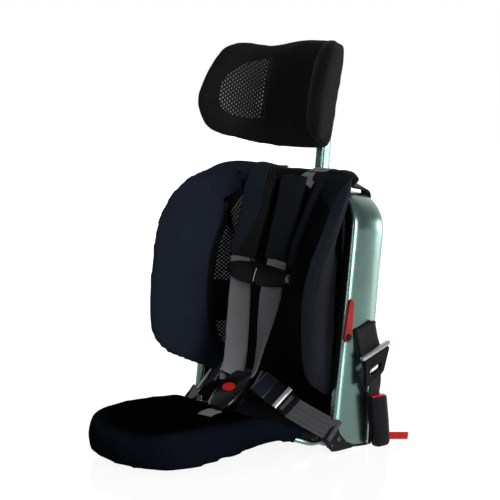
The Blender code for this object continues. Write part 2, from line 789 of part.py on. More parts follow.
SEAT_OUTLINE_SHARES = (
    (0.0, -1.0), (0.40, -0.96), (0.71, -0.82), (0.90, -0.58), (0.99, -0.25), (1.0, 0.1), (0.98, 0.5),
    (0.99, 0.8), (0.9, 0.97), (0.5, 1.0),
)
SEAT_TOP_SHARES = ((-1.0, 1.0), (0.2, 1.0), (0.6, 0.8), (0.85, 0.5), (1.0, 0.35))
SEAT_BELLY_SHARES = ((-1.0, 0.0), (-0.6, 0.1), (-0.3, 0.35), (0.0, 0.6), (0.3, 0.78), (0.5, 0.78), (0.7, 0.5), (0.85, 0.27), (1.0, 0.3))


def seat_place(x, y, out):
    return Vector((x, y, SEAT_PAD_RIM + out))


def build_seat():
    half_length = (SEAT_FRONT - SEAT_REAR) / 2
    centre_y = -(SEAT_FRONT + SEAT_REAR) / 2
    dish = 0.018

    def share_along(y):
        return (y - centre_y) / half_length

    def top(x, y):
        across = x / SEAT_HALF_WIDTH
        along = share_along(y)
        hollow = dish * max(1 - across**2, 0) * (0.65 + 0.35 * max(min(along, 1), -1))
        return (SEAT_PAD_TOP - SEAT_PAD_RIM) * table(SEAT_TOP_SHARES, along) - hollow * table(SEAT_TOP_SHARES, along)

    def under(x, y):
        belly = SEAT_PAD_RIM * table(SEAT_BELLY_SHARES, share_along(y))
        return SEAT_PAD_RIM - belly

    pad = cushion(seat_outline(0), 7, seat_place, top, under, 5.0, (0, centre_y), rear_power=7.0)
    pad = add_object("seat_pad", pad, navy_fabric())

    tube = SEAT_RAIL_DIAMETER / 2
    pocket_inset = SEAT_RAIL_INSET - tube - 3 * CLEARANCE
    pocket_top = SEAT_RAIL_Z + tube + 2 * CLEARANCE
    rings = []
    for z in (-OVERRUN, pocket_top):
        rings.append([Vector((x, y, z)) for x, y in seat_outline(pocket_inset)])
    boolean(pad, add_object("seat_pocket", loft(rings), None))
    path = seat_rail_path()
    rear = [point for point in path if point.y > mix(-SEAT_FRONT, -SEAT_REAR, 0.7)]
    for side, sign in SIDES:
        run = [point for point in rear if point.x * sign > 0]
        channel = tube_shape(run, tube + RUNNING_GAP, 12)
        boolean(pad, add_object(f"seat_rail_channel_{side}", channel, None))

    loop = add_object("seat_loop", tube_shape(path, tube, 12), aluminium())
    eye_radius = SEAT_RAIL_DIAMETER * 0.85
    eye_length = SEAT_RAIL_DIAMETER
    pin_radius = SEAT_RAIL_DIAMETER * 0.4
    pin_head = SEAT_RAIL_DIAMETER * 0.7
    head_length = SEAT_RAIL_DIAMETER * 0.3
    for side, sign in SIDES:
        place = (sign * SEAT_RAIL_X, SEAT_PIVOT_Y, SEAT_PIVOT_Z)
        eye = rod_shape(eye_radius, eye_length, 20, "X", place)
        boolean(loop, add_object(f"rail_eye_{side}", eye, None), "UNION")
        bore = rod_shape(pin_radius + CLEARANCE, eye_length + OVERRUN, 20, "X", place)
        boolean(loop, add_object(f"eye_bore_{side}", bore, None))
        inner_end = SEAT_RAIL_X - eye_length / 2 - CLEARANCE
        outer_end = HOOP_INNER_X - CLEARANCE
        pin = rod_shape(pin_radius, outer_end - inner_end, 20, "Z", head=(pin_head, head_length))
        turn = Matrix.Rotation(-sign * math.pi / 2, 4, "Y")
        middle = Vector((sign * (inner_end + outer_end) / 2, SEAT_PIVOT_Y, SEAT_PIVOT_Z))
        add_object(f"seat_pivot_pin_{side}", pin, black_steel(), Matrix.Translation(middle) @ turn)

    pan_inset = SEAT_RAIL_INSET + tube + 5 * CLEARANCE
    pan_top = pocket_top - CLEARANCE
    rings = []
    for z in (pan_top - SEAT_PAN_THICKNESS, pan_top):
        rings.append([Vector((x, y, z)) for x, y in seat_outline(pan_inset)])
    add_object("seat_pan", loft(rings), black_plastic())


def seat_rail_path():
    """Centre line of the folding loop, from the right eye round the front to the left one."""
    eye = SEAT_RAIL_DIAMETER * 0.7
    outline = seat_outline(SEAT_RAIL_INSET)
    front = [(x, y) for x, y in outline if x > CLEARANCE and y < mix(-SEAT_FRONT, -SEAT_REAR, 0.68)]
    front.sort(key=lambda point: -point[1])
    side_x = front[0][0]
    right = [
        (SEAT_RAIL_X, SEAT_PIVOT_Y - eye, SEAT_PIVOT_Z),
        (SEAT_RAIL_X, SEAT_PIVOT_Y - 3 * eye, SEAT_PIVOT_Z),
        (SEAT_RAIL_X, SEAT_PIVOT_Y - 5 * eye, mix(SEAT_PIVOT_Z, SEAT_RAIL_Z, 0.2)),
        (mix(SEAT_RAIL_X, side_x, 0.65), SEAT_PIVOT_Y - 8 * eye, mix(SEAT_PIVOT_Z, SEAT_RAIL_Z, 0.7)),
        (side_x, SEAT_PIVOT_Y - 11 * eye, SEAT_RAIL_Z),
    ]
    right = right + [(x, y, SEAT_RAIL_Z) for x, y in front]
    nose = min(y for x, y in outline)
    left = [(-x, y, z) for x, y, z in reversed(right)]
    return smooth_path(right + [(0, nose, SEAT_RAIL_Z)] + left, 2)


def tube_shape(path, radius, sides):
    """A round bar along a path that stays nearly level."""
    rings = []
    last = len(path) - 1
    for index, point in enumerate(path):
        along = (path[min(index + 1, last)] - path[max(index - 1, 0)]).normalized()
        side = along.cross(Z_AXIS).normalized()
        up = side.cross(along)
        ring = []
        for step in range(sides):
            turn = 2 * math.pi * (step + 0.5) / sides
            ring.append(point + side * (radius * math.cos(turn)) + up * (radius * math.sin(turn)))
        rings.append(ring)
    return loft(rings)


# Harness

# Places of the harness and belts in shares of TABLE_UNIT, on the right side
UPPER_STRAP_SHARES = ((0.40, 0.44, 4.55), (0.40, 0.35, 4.562), (0.40, 0.15, 4.562), (0.40, 0.0, 4.54), (0.40, -0.10, 4.49), (0.40, -0.137, 4.457))
PAD_SHARES = ((0.40, -0.145, 4.445), (0.41, -0.22, 4.14), (0.43, -0.33, 3.75), (0.45, -0.465, 3.34), (0.46, -0.575, 2.97))
LOWER_STRAP_SHARES = (
    (0.447, -0.590, 2.93), (0.41, -0.618, 2.77), (0.385, -0.640, 2.58), (0.33, -0.735, 2.0), (0.275, -0.815, 1.45),
    (0.245, -0.835, 1.175),
)
LOWER_TWIST_SHARES = ((0.0, 0.0), (0.35, 0.0), (0.6, 0.45), (1.0, 1.0))
LOWER_TWIST = math.radians(50.0)
HIP_SHARES = (
    (0.468, -1.0155, 1.077), (0.60, -1.00, 1.01), (0.722, -0.983, 0.941), (0.811, -0.947, 0.878), (0.90, -0.91, 0.815),
    (0.989, -0.873, 0.752), (1.078, -0.837, 0.689), (1.33, -0.765, 0.575), (1.60, -0.738, 0.46), (1.775, -0.63, 0.39),
)
TONGUE_SHARES = (
    (0.015, -0.848, 1.044), (0.12, -0.848, 1.044), (0.30, -0.848, 1.044), (0.33, -0.848, 1.044), (0.39, -0.94, 1.07),
    (0.452, -1.028, 1.095),
)
TONGUE_WIDTH = 0.030
HIP_ACROSS = Vector((0, 0.72, 0.69))
HIP_END_ACROSS = Vector((0, 0.82, 0.57))
ADJUSTER_PLACE = Vector((0.90, -0.91, 0.815))
ADJUSTER_RUN = Vector((0.772, 0.319, -0.549))
ADJUSTER_LENGTH = 0.046
ADJUSTER_WIDTH = 0.044
ADJUSTER_THICKNESS = 0.009
BUTTON_HALF_X = 0.013
BUTTON_HALF_Y = 0.009
BUTTON_TRAVEL = 0.002
MOUTH_THICKNESS = 0.0040
TONGUE_THICKNESS = 0.0024
BUCKLE_AXES = Matrix.Translation((0, BUCKLE_Y, BUCKLE_Z)) @ Matrix.Rotation(BUCKLE_TILT, 4, "X")


DRAWN_HALF_WIDTH_SHARE = 1.72
DRAWN_HEIGHT_SHARE = 4.155
WIDENING = HOOP_HALF_WIDTH - DRAWN_HALF_WIDTH_SHARE * TABLE_UNIT
RISING = HOOP_HEIGHT - DRAWN_HEIGHT_SHARE * TABLE_UNIT
WIDENING_SHARES = ((0.0, 0.0), (1.15, 0.0), (1.6, 1.0), (9.0, 1.0))
RISING_SHARES = ((0.0, 0.0), (1.25, 0.0), (2.45, 1.0), (9.0, 1.0))


def spread(share):
    """How far out a table's share lies: what is beside the legs goes out with them."""
    return share * TABLE_UNIT + WIDENING * table(WIDENING_SHARES, share)


def placed(shares, sign=1, rising=0):
    """A table's points. With rising at 1, those above the lap go up and back with the hoop's top."""
    points = []
    for x, y, z in shares:
        rise = rising * RISING * table(RISING_SHARES, z)
        points.append(Vector((sign * spread(x), y * TABLE_UNIT + rise * math.tan(LEAN), z * TABLE_UNIT + rise)))
    return points


def padded_band(path, across, half_width, half_thickness, power=3.0):
    """A padded sleeve along a path, rounded off at both ends."""
    rings = []
    last = len(path) - 1
    for index, point in enumerate(path):
        share = 2 * index / last - 1
        closing = max(1 - abs(share) ** 8, 0.03)
        along = (path[min(index + 1, last)] - path[max(index - 1, 0)]).normalized()
        side = (across - along * across.dot(along)).normalized()
        out = along.cross(side)
        section = rounded_ring(half_width * closing**0.25, half_thickness * closing**0.5, power, 16)
        rings.append([point + side * a + out * b for a, b in section])
    return loft(rings)


def lower_path(sign):
    return smooth_path(placed(LOWER_STRAP_SHARES, sign, 1), 3)


def lengthened(path, reach):
    """The same path with its first end carried straight on."""
    return [path[0] + (path[0] - path[1]).normalized() * reach] + path


def lower_across(sign):
    def across(share):
        turn = LOWER_TWIST * table(LOWER_TWIST_SHARES, share)
        return Vector((math.cos(turn), -sign * math.sin(turn), 0))

    return across


def hip_path(sign):
    return smooth_path(placed(HIP_SHARES, sign), 2)


def hip_across(sign):
    return lambda share: HIP_ACROSS.lerp(HIP_END_ACROSS, table(HIP_TWIST_SHARES, share))


HIP_TWIST_SHARES = ((0.0, 0.0), (0.62, 0.0), (1.0, 1.0))


def build_shoulders():
    web_across = lambda share: X_AXIS
    clip_gap = 4 * CLEARANCE
    clip_depth = 0.011
    half = CHEST_CLIP_LENGTH / 2
    for side, sign in SIDES:
        upper = ribbon(smooth_path(placed(UPPER_STRAP_SHARES, sign, 1), 3), web_across, WEB_WIDTH, WEB_THICKNESS)
        add_object(f"shoulder_strap_{side}", upper, grey_webbing())
        path = smooth_path(placed(PAD_SHARES, sign, 1), 3)
        pad = padded_band(path, X_AXIS, PAD_WIDTH / 2, PAD_THICKNESS / 2)
        add_object(f"shoulder_pad_{side}", pad, navy_fabric())

        rings = []
        for share in CLIP_STATION_SHARES:
            closing = max(1 - share**6, 0.05) ** 0.4
            section = rounded_ring(clip_depth / 2 * closing, CHEST_CLIP_HEIGHT / 2 * closing, 4.0, 20)
            x = sign * mix(CLEARANCE, half, share)
            rings.append([Vector((x, CHEST_CLIP_Y + a, CHEST_CLIP_Z + b)) for a, b in section])
        clip = add_object(f"chest_clip_{side}", loft(rings), black_plastic())
        slot_path = lengthened(lower_path(sign), OVERRUN)
        slot = ribbon(slot_path, lower_across(sign), WEB_WIDTH + 3 * clip_gap, WEB_THICKNESS + 2 * clip_gap, 3)
        boolean(clip, add_object(f"clip_slot_{side}", slot, None))
        lower = ribbon(lower_path(sign), lower_across(sign), WEB_WIDTH, WEB_THICKNESS, 3)
        add_object(f"lower_strap_{side}", lower, grey_webbing())


CLIP_STATION_SHARES = (0.0, 0.4, 0.7, 0.85, 0.93, 0.98, 1.0)
BUCKLE_STATION_SHARES = (
    (-1.0, 0.50, 0.35), (-0.95, 0.66, 0.6), (-0.75, 0.84, 0.85), (-0.4, 0.97, 1.0), (0.2, 1.0, 1.0), (0.7, 0.98, 0.92),
    (0.95, 0.92, 0.78), (1.0, 0.86, 0.65),
)


def oval(half_a, half_b, low, high, count=24):
    ring = rounded_ring(half_a, half_b, 2, count)
    return loft([[Vector((a, b, z)) for a, b in ring] for z in (low, high)])


def build_buckle():
    rings = []
    for share, wide, thick in BUCKLE_STATION_SHARES:
        section = rounded_ring(BUCKLE_WIDTH / 2 * wide, BUCKLE_THICKNESS / 2 * thick, 3.4, 24)
        rings.append([Vector((a, share * BUCKLE_LENGTH / 2, b)) for a, b in section])
    housing = add_object("buckle_housing", loft(rings), black_plastic(), BUCKLE_AXES)
    face = BUCKLE_THICKNESS / 2
    recess_floor = face - 3 * BUTTON_TRAVEL
    recess = oval(BUTTON_HALF_X + CLEARANCE, BUTTON_HALF_Y + CLEARANCE, recess_floor, face + OVERRUN)
    boolean(housing, add_object("button_recess", recess, None, BUCKLE_AXES))
    mouth_depth = BUCKLE_LENGTH * 0.25
    mouth = box_shape(
        (BUCKLE_WIDTH + OVERRUN, mouth_depth + OVERRUN, MOUTH_THICKNESS),
        (0, (BUCKLE_LENGTH - mouth_depth + OVERRUN) / 2, 0),
    )
    boolean(housing, add_object("buckle_mouth", mouth, None, BUCKLE_AXES))
    button = oval(BUTTON_HALF_X, BUTTON_HALF_Y, recess_floor + BUTTON_TRAVEL + CLEARANCE, face + BUTTON_TRAVEL / 2)
    obj = add_object("buckle_button", button, red_plastic(), BUCKLE_AXES)
    bevel(obj, BUTTON_TRAVEL / 3)

    crotch_end = BUCKLE_AXES @ Vector((0, -BUCKLE_LENGTH / 2 - 4 * CLEARANCE, 0))
    crotch = placed(CROTCH_SHARES) + [crotch_end]
    webbing = ribbon(smooth_path(crotch, 3), lambda share: X_AXIS, WEB_WIDTH * 0.8, WEB_THICKNESS)
    add_object("crotch_strap", webbing, dark_webbing())


CROTCH_SHARES = ((0.0, -2.03, 0.555), (0.0, -1.88, 0.555), (0.0, -1.70, 0.567))


TONGUE_TWIST_SHARES = ((0.0, 0.0), (0.6, 0.0), (1.0, 1.0))


def build_hips():
    """Steel tongues, webbing adjusters with their release bars and the hip straps."""
    mouth_run = Vector((0, math.cos(BUCKLE_TILT), math.sin(BUCKLE_TILT)))
    across = (HIP_ACROSS - ADJUSTER_RUN * HIP_ACROSS.dot(ADJUSTER_RUN)).normalized()
    run = ADJUSTER_RUN.normalized()
    half_run = ADJUSTER_LENGTH / 2
    half_across = ADJUSTER_WIDTH / 2
    corner = ADJUSTER_THICKNESS / 2
    bar_length = 0.042
    bar_wide = 0.008
    bar_thick = 0.004
    for side, sign in SIDES:
        mirror = Matrix.Scale(sign, 4, X_AXIS)
        tongue = ribbon(
            placed(TONGUE_SHARES, sign),
            lambda share: mouth_run.lerp(HIP_ACROSS, table(TONGUE_TWIST_SHARES, share)),
            TONGUE_WIDTH,
            TONGUE_THICKNESS,
        )
        tongue = add_object(f"hip_tongue_{side}", tongue, bright_metal())

        centre = ADJUSTER_PLACE * TABLE_UNIT
        outline = [
            (-half_run, -half_across + corner), (-half_run + corner, -half_across), (half_run - corner, -half_across),
            (half_run, -half_across + corner), (half_run, half_across - corner), (half_run - corner, half_across),
            (-half_run + corner, half_across), (-half_run, half_across - corner),
        ]
        body = extruded(outline, ADJUSTER_THICKNESS, centre, run, across)
        bmesh.ops.transform(body, matrix=mirror, verts=body.verts)
        adjuster = add_object(f"hip_adjuster_{side}", body, black_plastic())
        bevel(adjuster, ADJUSTER_THICKNESS / 5, 1)
        out = run.cross(across)
        window = extruded(
            [(half_run * 0.30, -half_across * 0.72), (half_run * 0.62, -half_across * 0.72),
             (half_run * 0.62, half_across * 0.72), (half_run * 0.30, half_across * 0.72)],
            ADJUSTER_THICKNESS + OVERRUN, centre, run, across,
        )
        bmesh.ops.transform(window, matrix=mirror, verts=window.verts)
        boolean(adjuster, add_object(f"hip_adjuster_window_{side}", window, None))
        bar_centre = centre + out * (ADJUSTER_THICKNESS / 2 + CLEARANCE + bar_thick / 2)
        rings = []
        for end in (-1, 1):
            section = rounded_ring(bar_wide / 2, bar_thick / 2, 2.6, 12)
            rings.append([bar_centre + across * (end * bar_length / 2) + run * a + out * b for a, b in section])
        bar = loft(rings)
        bmesh.ops.transform(bar, matrix=mirror, verts=bar.verts)
        add_object(f"hip_adjuster_bar_{side}", bar, bright_metal())
        strap = ribbon(hip_path(sign), hip_across(sign), WEB_WIDTH, WEB_THICKNESS, 3)
        throat = ribbon(hip_path(sign), hip_across(sign), WEB_WIDTH + 2 * CLEARANCE, WEB_THICKNESS + 2 * CLEARANCE, 3)
        boolean(adjuster, add_object(f"adjuster_throat_{side}", throat, None))
        add_object(f"hip_strap_{side}", strap, dark_webbing())


# Levers and anchor belts


LEVER_TOP_SHARES = (-0.215, 2.41)
LEVER_BOLT_SHARES = (-0.300, 1.87)
ANCHOR_ADJUSTER_SHARES = ((-0.03, 1.48), (0.52, 1.655), (0.55, 1.60), (0.42, 1.25), (-0.01, 1.02))
ANCHOR_ACROSS = Vector((0, 0.964, 0.264))


def build_levers():
    """Red release levers on the outer face of each leg, each on a bolt."""
    thickness = 0.005
    low_radius = 0.0085
    top_radius = 0.0055
    bolt_radius = 0.0035
    bolt_head = 0.0055
    head_length = 0.002
    face = HOOP_HALF_WIDTH + CLEARANCE
    top = Vector(LEVER_TOP_SHARES) * TABLE_UNIT
    bolt = Vector(LEVER_BOLT_SHARES) * TABLE_UNIT
    run = (top - bolt).normalized()
    aside = Vector((run.y, -run.x))
    for side, sign in SIDES:
        outline = []
        for centre, radius, start in ((top, top_radius, 0), (bolt, low_radius, math.pi)):
            for step in range(9):
                turn = start + math.pi * step / 8
                outline.append(centre + aside * (radius * math.cos(turn)) + run * (radius * math.sin(turn)))
        outline = [(point.x, point.y) for point in outline]
        place = (sign * (face + thickness / 2), 0, 0)
        lever = extruded(outline, thickness, place, Y_AXIS, Z_AXIS)
        axes = Matrix.Translation((0, bolt.x, bolt.y))
        bmesh.ops.transform(lever, matrix=axes.inverted(), verts=lever.verts)
        lever = add_object(f"release_lever_{side}", lever, red_plastic(), axes)
        bevel(lever, thickness / 4)
        bore = rod_shape(bolt_radius + CLEARANCE, thickness + OVERRUN, 20, "X", (place[0], bolt.x, bolt.y))
        boolean(lever, add_object(f"lever_bore_{side}", bore, None))
        sunk = HOOP_THICKNESS / 3
        length = thickness + CLEARANCE + sunk
        pin = rod_shape(bolt_radius, length, 20, "Z", head=(bolt_head, head_length))
        turn = Matrix.Rotation(sign * math.pi / 2, 4, "Y")
        middle = Vector((sign * (face - sunk + length / 2), bolt.x, bolt.y))
        hole_middle = (sign * (face - sunk - CLEARANCE + OVERRUN), bolt.x, bolt.y)
        hole = rod_shape(bolt_radius + CLEARANCE, 2 * OVERRUN, 20, "X", hole_middle)
        boolean(bpy.data.objects["frame_hoop"], add_object(f"bolt_hole_{side}", hole, None))
        add_object(f"lever_bolt_{side}", pin, black_steel(), Matrix.Translation(middle) @ turn)


ANCHOR_LOOP_SHARES = (
    (1.7325, 0.20, 1.50), (1.7325, 0.15, 1.72), (1.7325, 0.105, 1.96), (1.755, 0.10, 2.0), (1.7775, 0.105, 1.96),
    (1.79, 0.15, 1.75), (1.815, 0.175, 1.62), (1.816, 0.19, 1.50), (1.816, 0.20, 1.38),
)
ANCHOR_LOWER_SHARES = ((1.868, 0.225, 1.22), (1.868, 0.235, 1.12), (1.84, 0.26, 0.99), (1.785, 0.30, 0.86), (1.785, 0.31, 0.79))
ANCHOR_LOWER_WIDTH = 0.029
CONNECTOR_STATION_SHARES = (
    (1.0, 0.47, 0.98), (0.96, 0.5, 1.0), (0.5, 0.5, 1.0), (0.1, 0.48, 0.92), (0.02, 0.42, 0.8), (0.0, 0.36, 0.7),
)
PULL_TAB_SHARES = ((1.86, 0.56, 0.140), (1.865, 0.66, 0.128), (1.88, 0.8, 0.105), (1.90, 1.03, 0.068))
CONNECTOR_SHARES = ((1.835, 0.31, 0.0), (1.835, 0.43, 0.0))


def build_anchors():
    """Anchor belts on the outer side of each leg, ending in latch connectors with red buttons and pull tabs."""
    adjuster_thick = 0.008
    adjuster_x = HOOP_HALF_WIDTH + adjuster_thick / 2 + 6 * WEB_THICKNESS
    bar_thick = 0.006
    bar_length = 0.064
    button_tall = 0.009
    button_travel = 0.0025
    tab_width = 0.012
    for side, sign in SIDES:
        across = lambda share: ANCHOR_ACROSS
        loop = ribbon(smooth_path(placed(ANCHOR_LOOP_SHARES, sign), 3), across, WEB_WIDTH * 1.2, WEB_THICKNESS)
        add_object(f"anchor_strap_{side}", loop, dark_webbing())
        outline = [(y * TABLE_UNIT, z * TABLE_UNIT) for y, z in ANCHOR_ADJUSTER_SHARES]
        body = extruded(outline, adjuster_thick, (sign * adjuster_x, 0, 0), Y_AXIS, Z_AXIS)
        adjuster = add_object(f"anchor_adjuster_{side}", body, black_plastic())
        bevel(adjuster, adjuster_thick / 5, 1)
        lower_path = smooth_path(placed(ANCHOR_LOWER_SHARES, sign), 2)
        lower = ribbon(lower_path, across, ANCHOR_LOWER_WIDTH, WEB_THICKNESS)
        add_object(f"anchor_webbing_{side}", lower, dark_webbing())
        gap = 2 * CLEARANCE
        lower_slot = ribbon(lower_path, across, ANCHOR_LOWER_WIDTH + gap, WEB_THICKNESS + gap)
        boolean(adjuster, add_object(f"anchor_slot_{side}", lower_slot, None))

        first = Vector(ANCHOR_ADJUSTER_SHARES[0]) * TABLE_UNIT
        last = Vector(ANCHOR_ADJUSTER_SHARES[1]) * TABLE_UNIT
        middle = (first + last) / 2
        bar_run = (last - first).normalized()
        lift = Vector((-bar_run.y, bar_run.x)) * (bar_thick / 2 + CLEARANCE)
        rings = []
        for end in (-1, 1):
            section = rounded_ring(bar_thick / 2, adjuster_thick / 2, 2.6, 12)
            ring = []
            for a, b in section:
                point = middle + lift + bar_run * (end * bar_length / 2) + Vector((-bar_run.y, bar_run.x)) * a
                ring.append(Vector((sign * (adjuster_x + b), point.x, point.y)))
            rings.append(ring)
        add_object(f"anchor_bar_{side}", loft(rings), bright_metal())

        top_place, low_place = placed(CONNECTOR_SHARES, sign)
        rings = []
        for share, wide, thick in CONNECTOR_STATION_SHARES:
            place = low_place.lerp(top_place, share)
            section = rounded_ring(CONNECTOR_THICKNESS / 2 * thick, CONNECTOR_WIDTH * wide, 4.0, 24)
            z = CONNECTOR_LENGTH * share + 2 * CLEARANCE
            rings.append([Vector((place.x + a, place.y + b, z)) for a, b in section])
        body = add_object(f"connector_{side}", loft(rings), black_plastic())
        top_z = CONNECTOR_LENGTH + 2 * CLEARANCE
        floor = top_z - button_tall / 2 - button_travel
        shift = Matrix.Translation((top_place.x, top_place.y, 0))
        boolean(body, bpy.data.objects[f"anchor_slot_{side}"])
        shift = shift @ Matrix.Translation((sign * CONNECTOR_THICKNESS * 0.16, 0, 0))
        half_x = CONNECTOR_THICKNESS * 0.26
        half_y = CONNECTOR_WIDTH * 0.40
        recess = oval(half_x + CLEARANCE, half_y + CLEARANCE, floor, top_z + OVERRUN)
        boolean(body, add_object(f"connector_recess_{side}", recess, None, shift))
        button_low = floor + button_travel + CLEARANCE
        button = oval(half_x, half_y, button_low, button_low + button_tall / 2 + button_travel / 2)
        add_object(f"connector_button_{side}", button, red_plastic(), shift)
        tab = ribbon(placed(PULL_TAB_SHARES, sign), lambda share: Z_AXIS, tab_width, WEB_THICKNESS)
        add_object(f"pull_tab_{side}", tab, red_plastic())
        tab_slot = ribbon(placed(PULL_TAB_SHARES, sign), lambda share: Z_AXIS, tab_width + gap, WEB_THICKNESS + gap)
        boolean(body, add_object(f"tab_slot_{side}", tab_slot, None))


def build_cover_loops():
    """Short straps that hold the padded hood over each corner of the hoop."""
    for side, sign in SIDES:
        path = smooth_path(placed(COVER_LOOP_SHARES, sign, 1), 3)
        band = ribbon(path, lambda share: X_AXIS, WEB_WIDTH / 2, WEB_THICKNESS)
        add_object(f"cover_loop_{side}", band, black_knit())


COVER_LOOP_SHARES = ((1.2, 0.488, 4.36), (1.2, 0.494, 4.27), (1.2, 0.57, 4.19), (1.2, 0.67, 4.09), (1.2, 0.69, 3.92))


clear_scene()
build_hoop()
build_feet()
build_base()
build_guide()
build_brackets()
build_headrest()
build_back()
build_wings()
build_seat()
build_shoulders()
build_buckle()
build_hips()
build_levers()
build_anchors()
build_cover_loops()
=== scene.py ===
import math

import bmesh
import bpy
from mathutils import Matrix, Vector, kdtree, noise
from mathutils.bvhtree import BVHTree


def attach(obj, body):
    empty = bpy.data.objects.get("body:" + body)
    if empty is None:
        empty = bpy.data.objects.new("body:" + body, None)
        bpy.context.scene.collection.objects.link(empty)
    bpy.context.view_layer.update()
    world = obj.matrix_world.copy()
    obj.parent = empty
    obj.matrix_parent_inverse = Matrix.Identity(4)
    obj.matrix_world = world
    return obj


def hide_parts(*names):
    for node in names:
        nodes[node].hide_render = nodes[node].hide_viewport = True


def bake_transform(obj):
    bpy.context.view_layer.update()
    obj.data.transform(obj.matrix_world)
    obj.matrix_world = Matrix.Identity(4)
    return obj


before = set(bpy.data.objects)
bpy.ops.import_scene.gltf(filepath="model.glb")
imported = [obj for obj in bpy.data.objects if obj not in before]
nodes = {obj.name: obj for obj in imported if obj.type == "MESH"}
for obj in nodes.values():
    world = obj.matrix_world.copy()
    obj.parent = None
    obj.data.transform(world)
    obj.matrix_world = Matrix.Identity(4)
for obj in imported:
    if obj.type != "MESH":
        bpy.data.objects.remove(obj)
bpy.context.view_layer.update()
scene = bpy.context.scene
scene.view_settings.view_transform = "Standard"

# The camera stands to the front and right of the seat, low and far away. Its place, its axes and its lens are
# those of the photograph.
eye = Vector((1.636029, -1.608546, 0.592685))
right = Vector((0.683023, 0.730395, 0.001973))
up = Vector((-0.091518, 0.082901, 0.992347))
lens = bpy.data.cameras.new("camera")
lens.lens = 99.12
lens.sensor_width = 36.0
camera = bpy.data.objects.new("camera", lens)
camera.matrix_world = Matrix.Translation(eye) @ Matrix((right, up, right.cross(up))).transposed().to_4x4()
scene.collection.objects.link(camera)
scene.camera = camera


# The studio: a pale floor, a white surround and soft lamps. One class carries all the shader arithmetic of
# the file: it wraps a socket, so that a pattern reads as a formula.
class Signal:
    def __init__(self, tree, socket):
        self.tree = tree
        self.socket = socket

    def node(self, kind, output, inputs, **settings):
        """Another node of this tree: its settings first, then its inputs by name or number."""
        made = self.tree.nodes.new(kind)
        for name, value in settings.items():
            setattr(made, name, value)
        for name, value in inputs.items():
            if isinstance(value, Signal):
                self.tree.links.new(value.socket, made.inputs[name])
            else:
                made.inputs[name].default_value = value
        return Signal(self.tree, made.outputs[output])

    def math(self, operation, *others):
        return self.node("ShaderNodeMath", 0, dict(enumerate((self, *others))), operation=operation)

    def __add__(self, other):
        return self.math("ADD", other)

    def __sub__(self, other):
        return self.math("SUBTRACT", other)

    def __rsub__(self, other):
        return self * -1.0 + other

    def __mul__(self, other):
        return self.math("MULTIPLY", other)

    def __truediv__(self, other):
        return self.math("DIVIDE", other)

    def __abs__(self):
        return self.math("ABSOLUTE")

    def ripple(self, pitch):
        """A cosine of this length, from -1 to 1."""
        return (self * (2 * math.pi / pitch)).math("COSINE")

    def wave(self, pitch):
        """A cosine of this length, from 0 to 1, highest at 0."""
        return self.ripple(pitch) * 0.5 + 0.5

    def smooth(self, low, high):
        """From 0 at low to 1 at high with soft ends. It falls instead where low is above high."""
        inputs = {"Value": self, "From Min": min(low, high), "From Max": max(low, high)}
        if low > high:
            inputs.update({"To Min": 1.0, "To Max": 0.0})
        return self.node("ShaderNodeMapRange", 0, inputs, interpolation_type="SMOOTHSTEP")

    def between(self, first, second):
        """The colour at this share of the way from the first to the second."""
        inputs = {0: self, 6: colour(first), 7: colour(second)}
        return self.node("ShaderNodeMix", 2, inputs, data_type="RGBA")

    def axis(self, letter):
        return self.node("ShaderNodeSeparateXYZ", letter, {0: self})

    def axes(self):
        return [self.axis(letter) for letter in "XYZ"]

    def facing(self):
        """The normal, from the same node as this place."""
        return Signal(self.tree, self.socket.node.outputs["Normal"])

    def scaled(self, factors):
        return self.node("ShaderNodeVectorMath", 0, {0: self, 1: factors}, operation="MULTIPLY")

    def noise(self, scale, detail=2.0, rough=0.5):
        inputs = {"Vector": self, "Scale": scale, "Detail": detail, "Roughness": rough}
        return self.node("ShaderNodeTexNoise", 0, inputs)

    def cells(self, scale, feature="F1"):
        return self.node("ShaderNodeTexVoronoi", 0, {"Vector": self, "Scale": scale}, feature=feature)


def colour(value):
    """An sRGB colour of 0 to 255 as the shader's linear one."""
    if isinstance(value, Signal):
        return value
    shares = [part / 255 for part in value]
    linear = [share / 12.92 if share <= 0.04045 else ((share + 0.055) / 1.055) ** 2.4 for share in shares]
    return (*linear, 1.0)


def material(name, base, rough=0.5, metal=0.0, **sockets):
    """A Principled material, with its place on the object and its place along a strap."""
    made = bpy.data.materials.new(name)
    made.use_nodes = True
    tree = made.node_tree
    shader = tree.nodes["Principled BSDF"]
    shader.inputs["Base Color"].default_value = colour(base)
    shader.inputs["Roughness"].default_value = rough
    shader.inputs["Metallic"].default_value = metal
    for socket, value in sockets.items():
        shader.inputs[socket.replace("_", " ")].default_value = value
    place = Signal(tree, tree.nodes.new("ShaderNodeTexCoord").outputs["Object"])
    strap = Signal(tree, tree.nodes.new("ShaderNodeUVMap").outputs["UV"])
    return made, shader, place, strap


def feed(shader, socket, signal):
    signal.tree.links.new(signal.socket, shader.inputs[socket])


def bump(shader, height, distance, strength=1.0):
    inputs = {"Height": height, "Distance": distance, "Strength": strength}
    feed(shader, "Normal", height.node("ShaderNodeBump", "Normal", inputs))


def seen_rays(tree, mirrored):
    """1 for the camera's rays and those through clear things, this share in reflections, 0 for the rest."""
    rays = tree.nodes.new("ShaderNodeLightPath")
    total = Signal(tree, rays.outputs["Is Camera Ray"]) + Signal(tree, rays.outputs["Is Transmission Ray"])
    return (total + Signal(tree, rays.outputs["Is Glossy Ray"]) * mirrored).math("MINIMUM", 1.0)


def link(name, mesh, look):
    made = bpy.data.objects.new(name, mesh)
    scene.collection.objects.link(made)
    mesh.materials.clear()
    mesh.materials.append(look)
    return made


def built(name, bm, look, smooth=True):
    """A bmesh as a piece of the scene."""
    for face in bm.faces if smooth else ():
        face.smooth = True
    mesh = bpy.data.meshes.new(name)
    bm.to_mesh(mesh)
    return link(name, mesh, look)


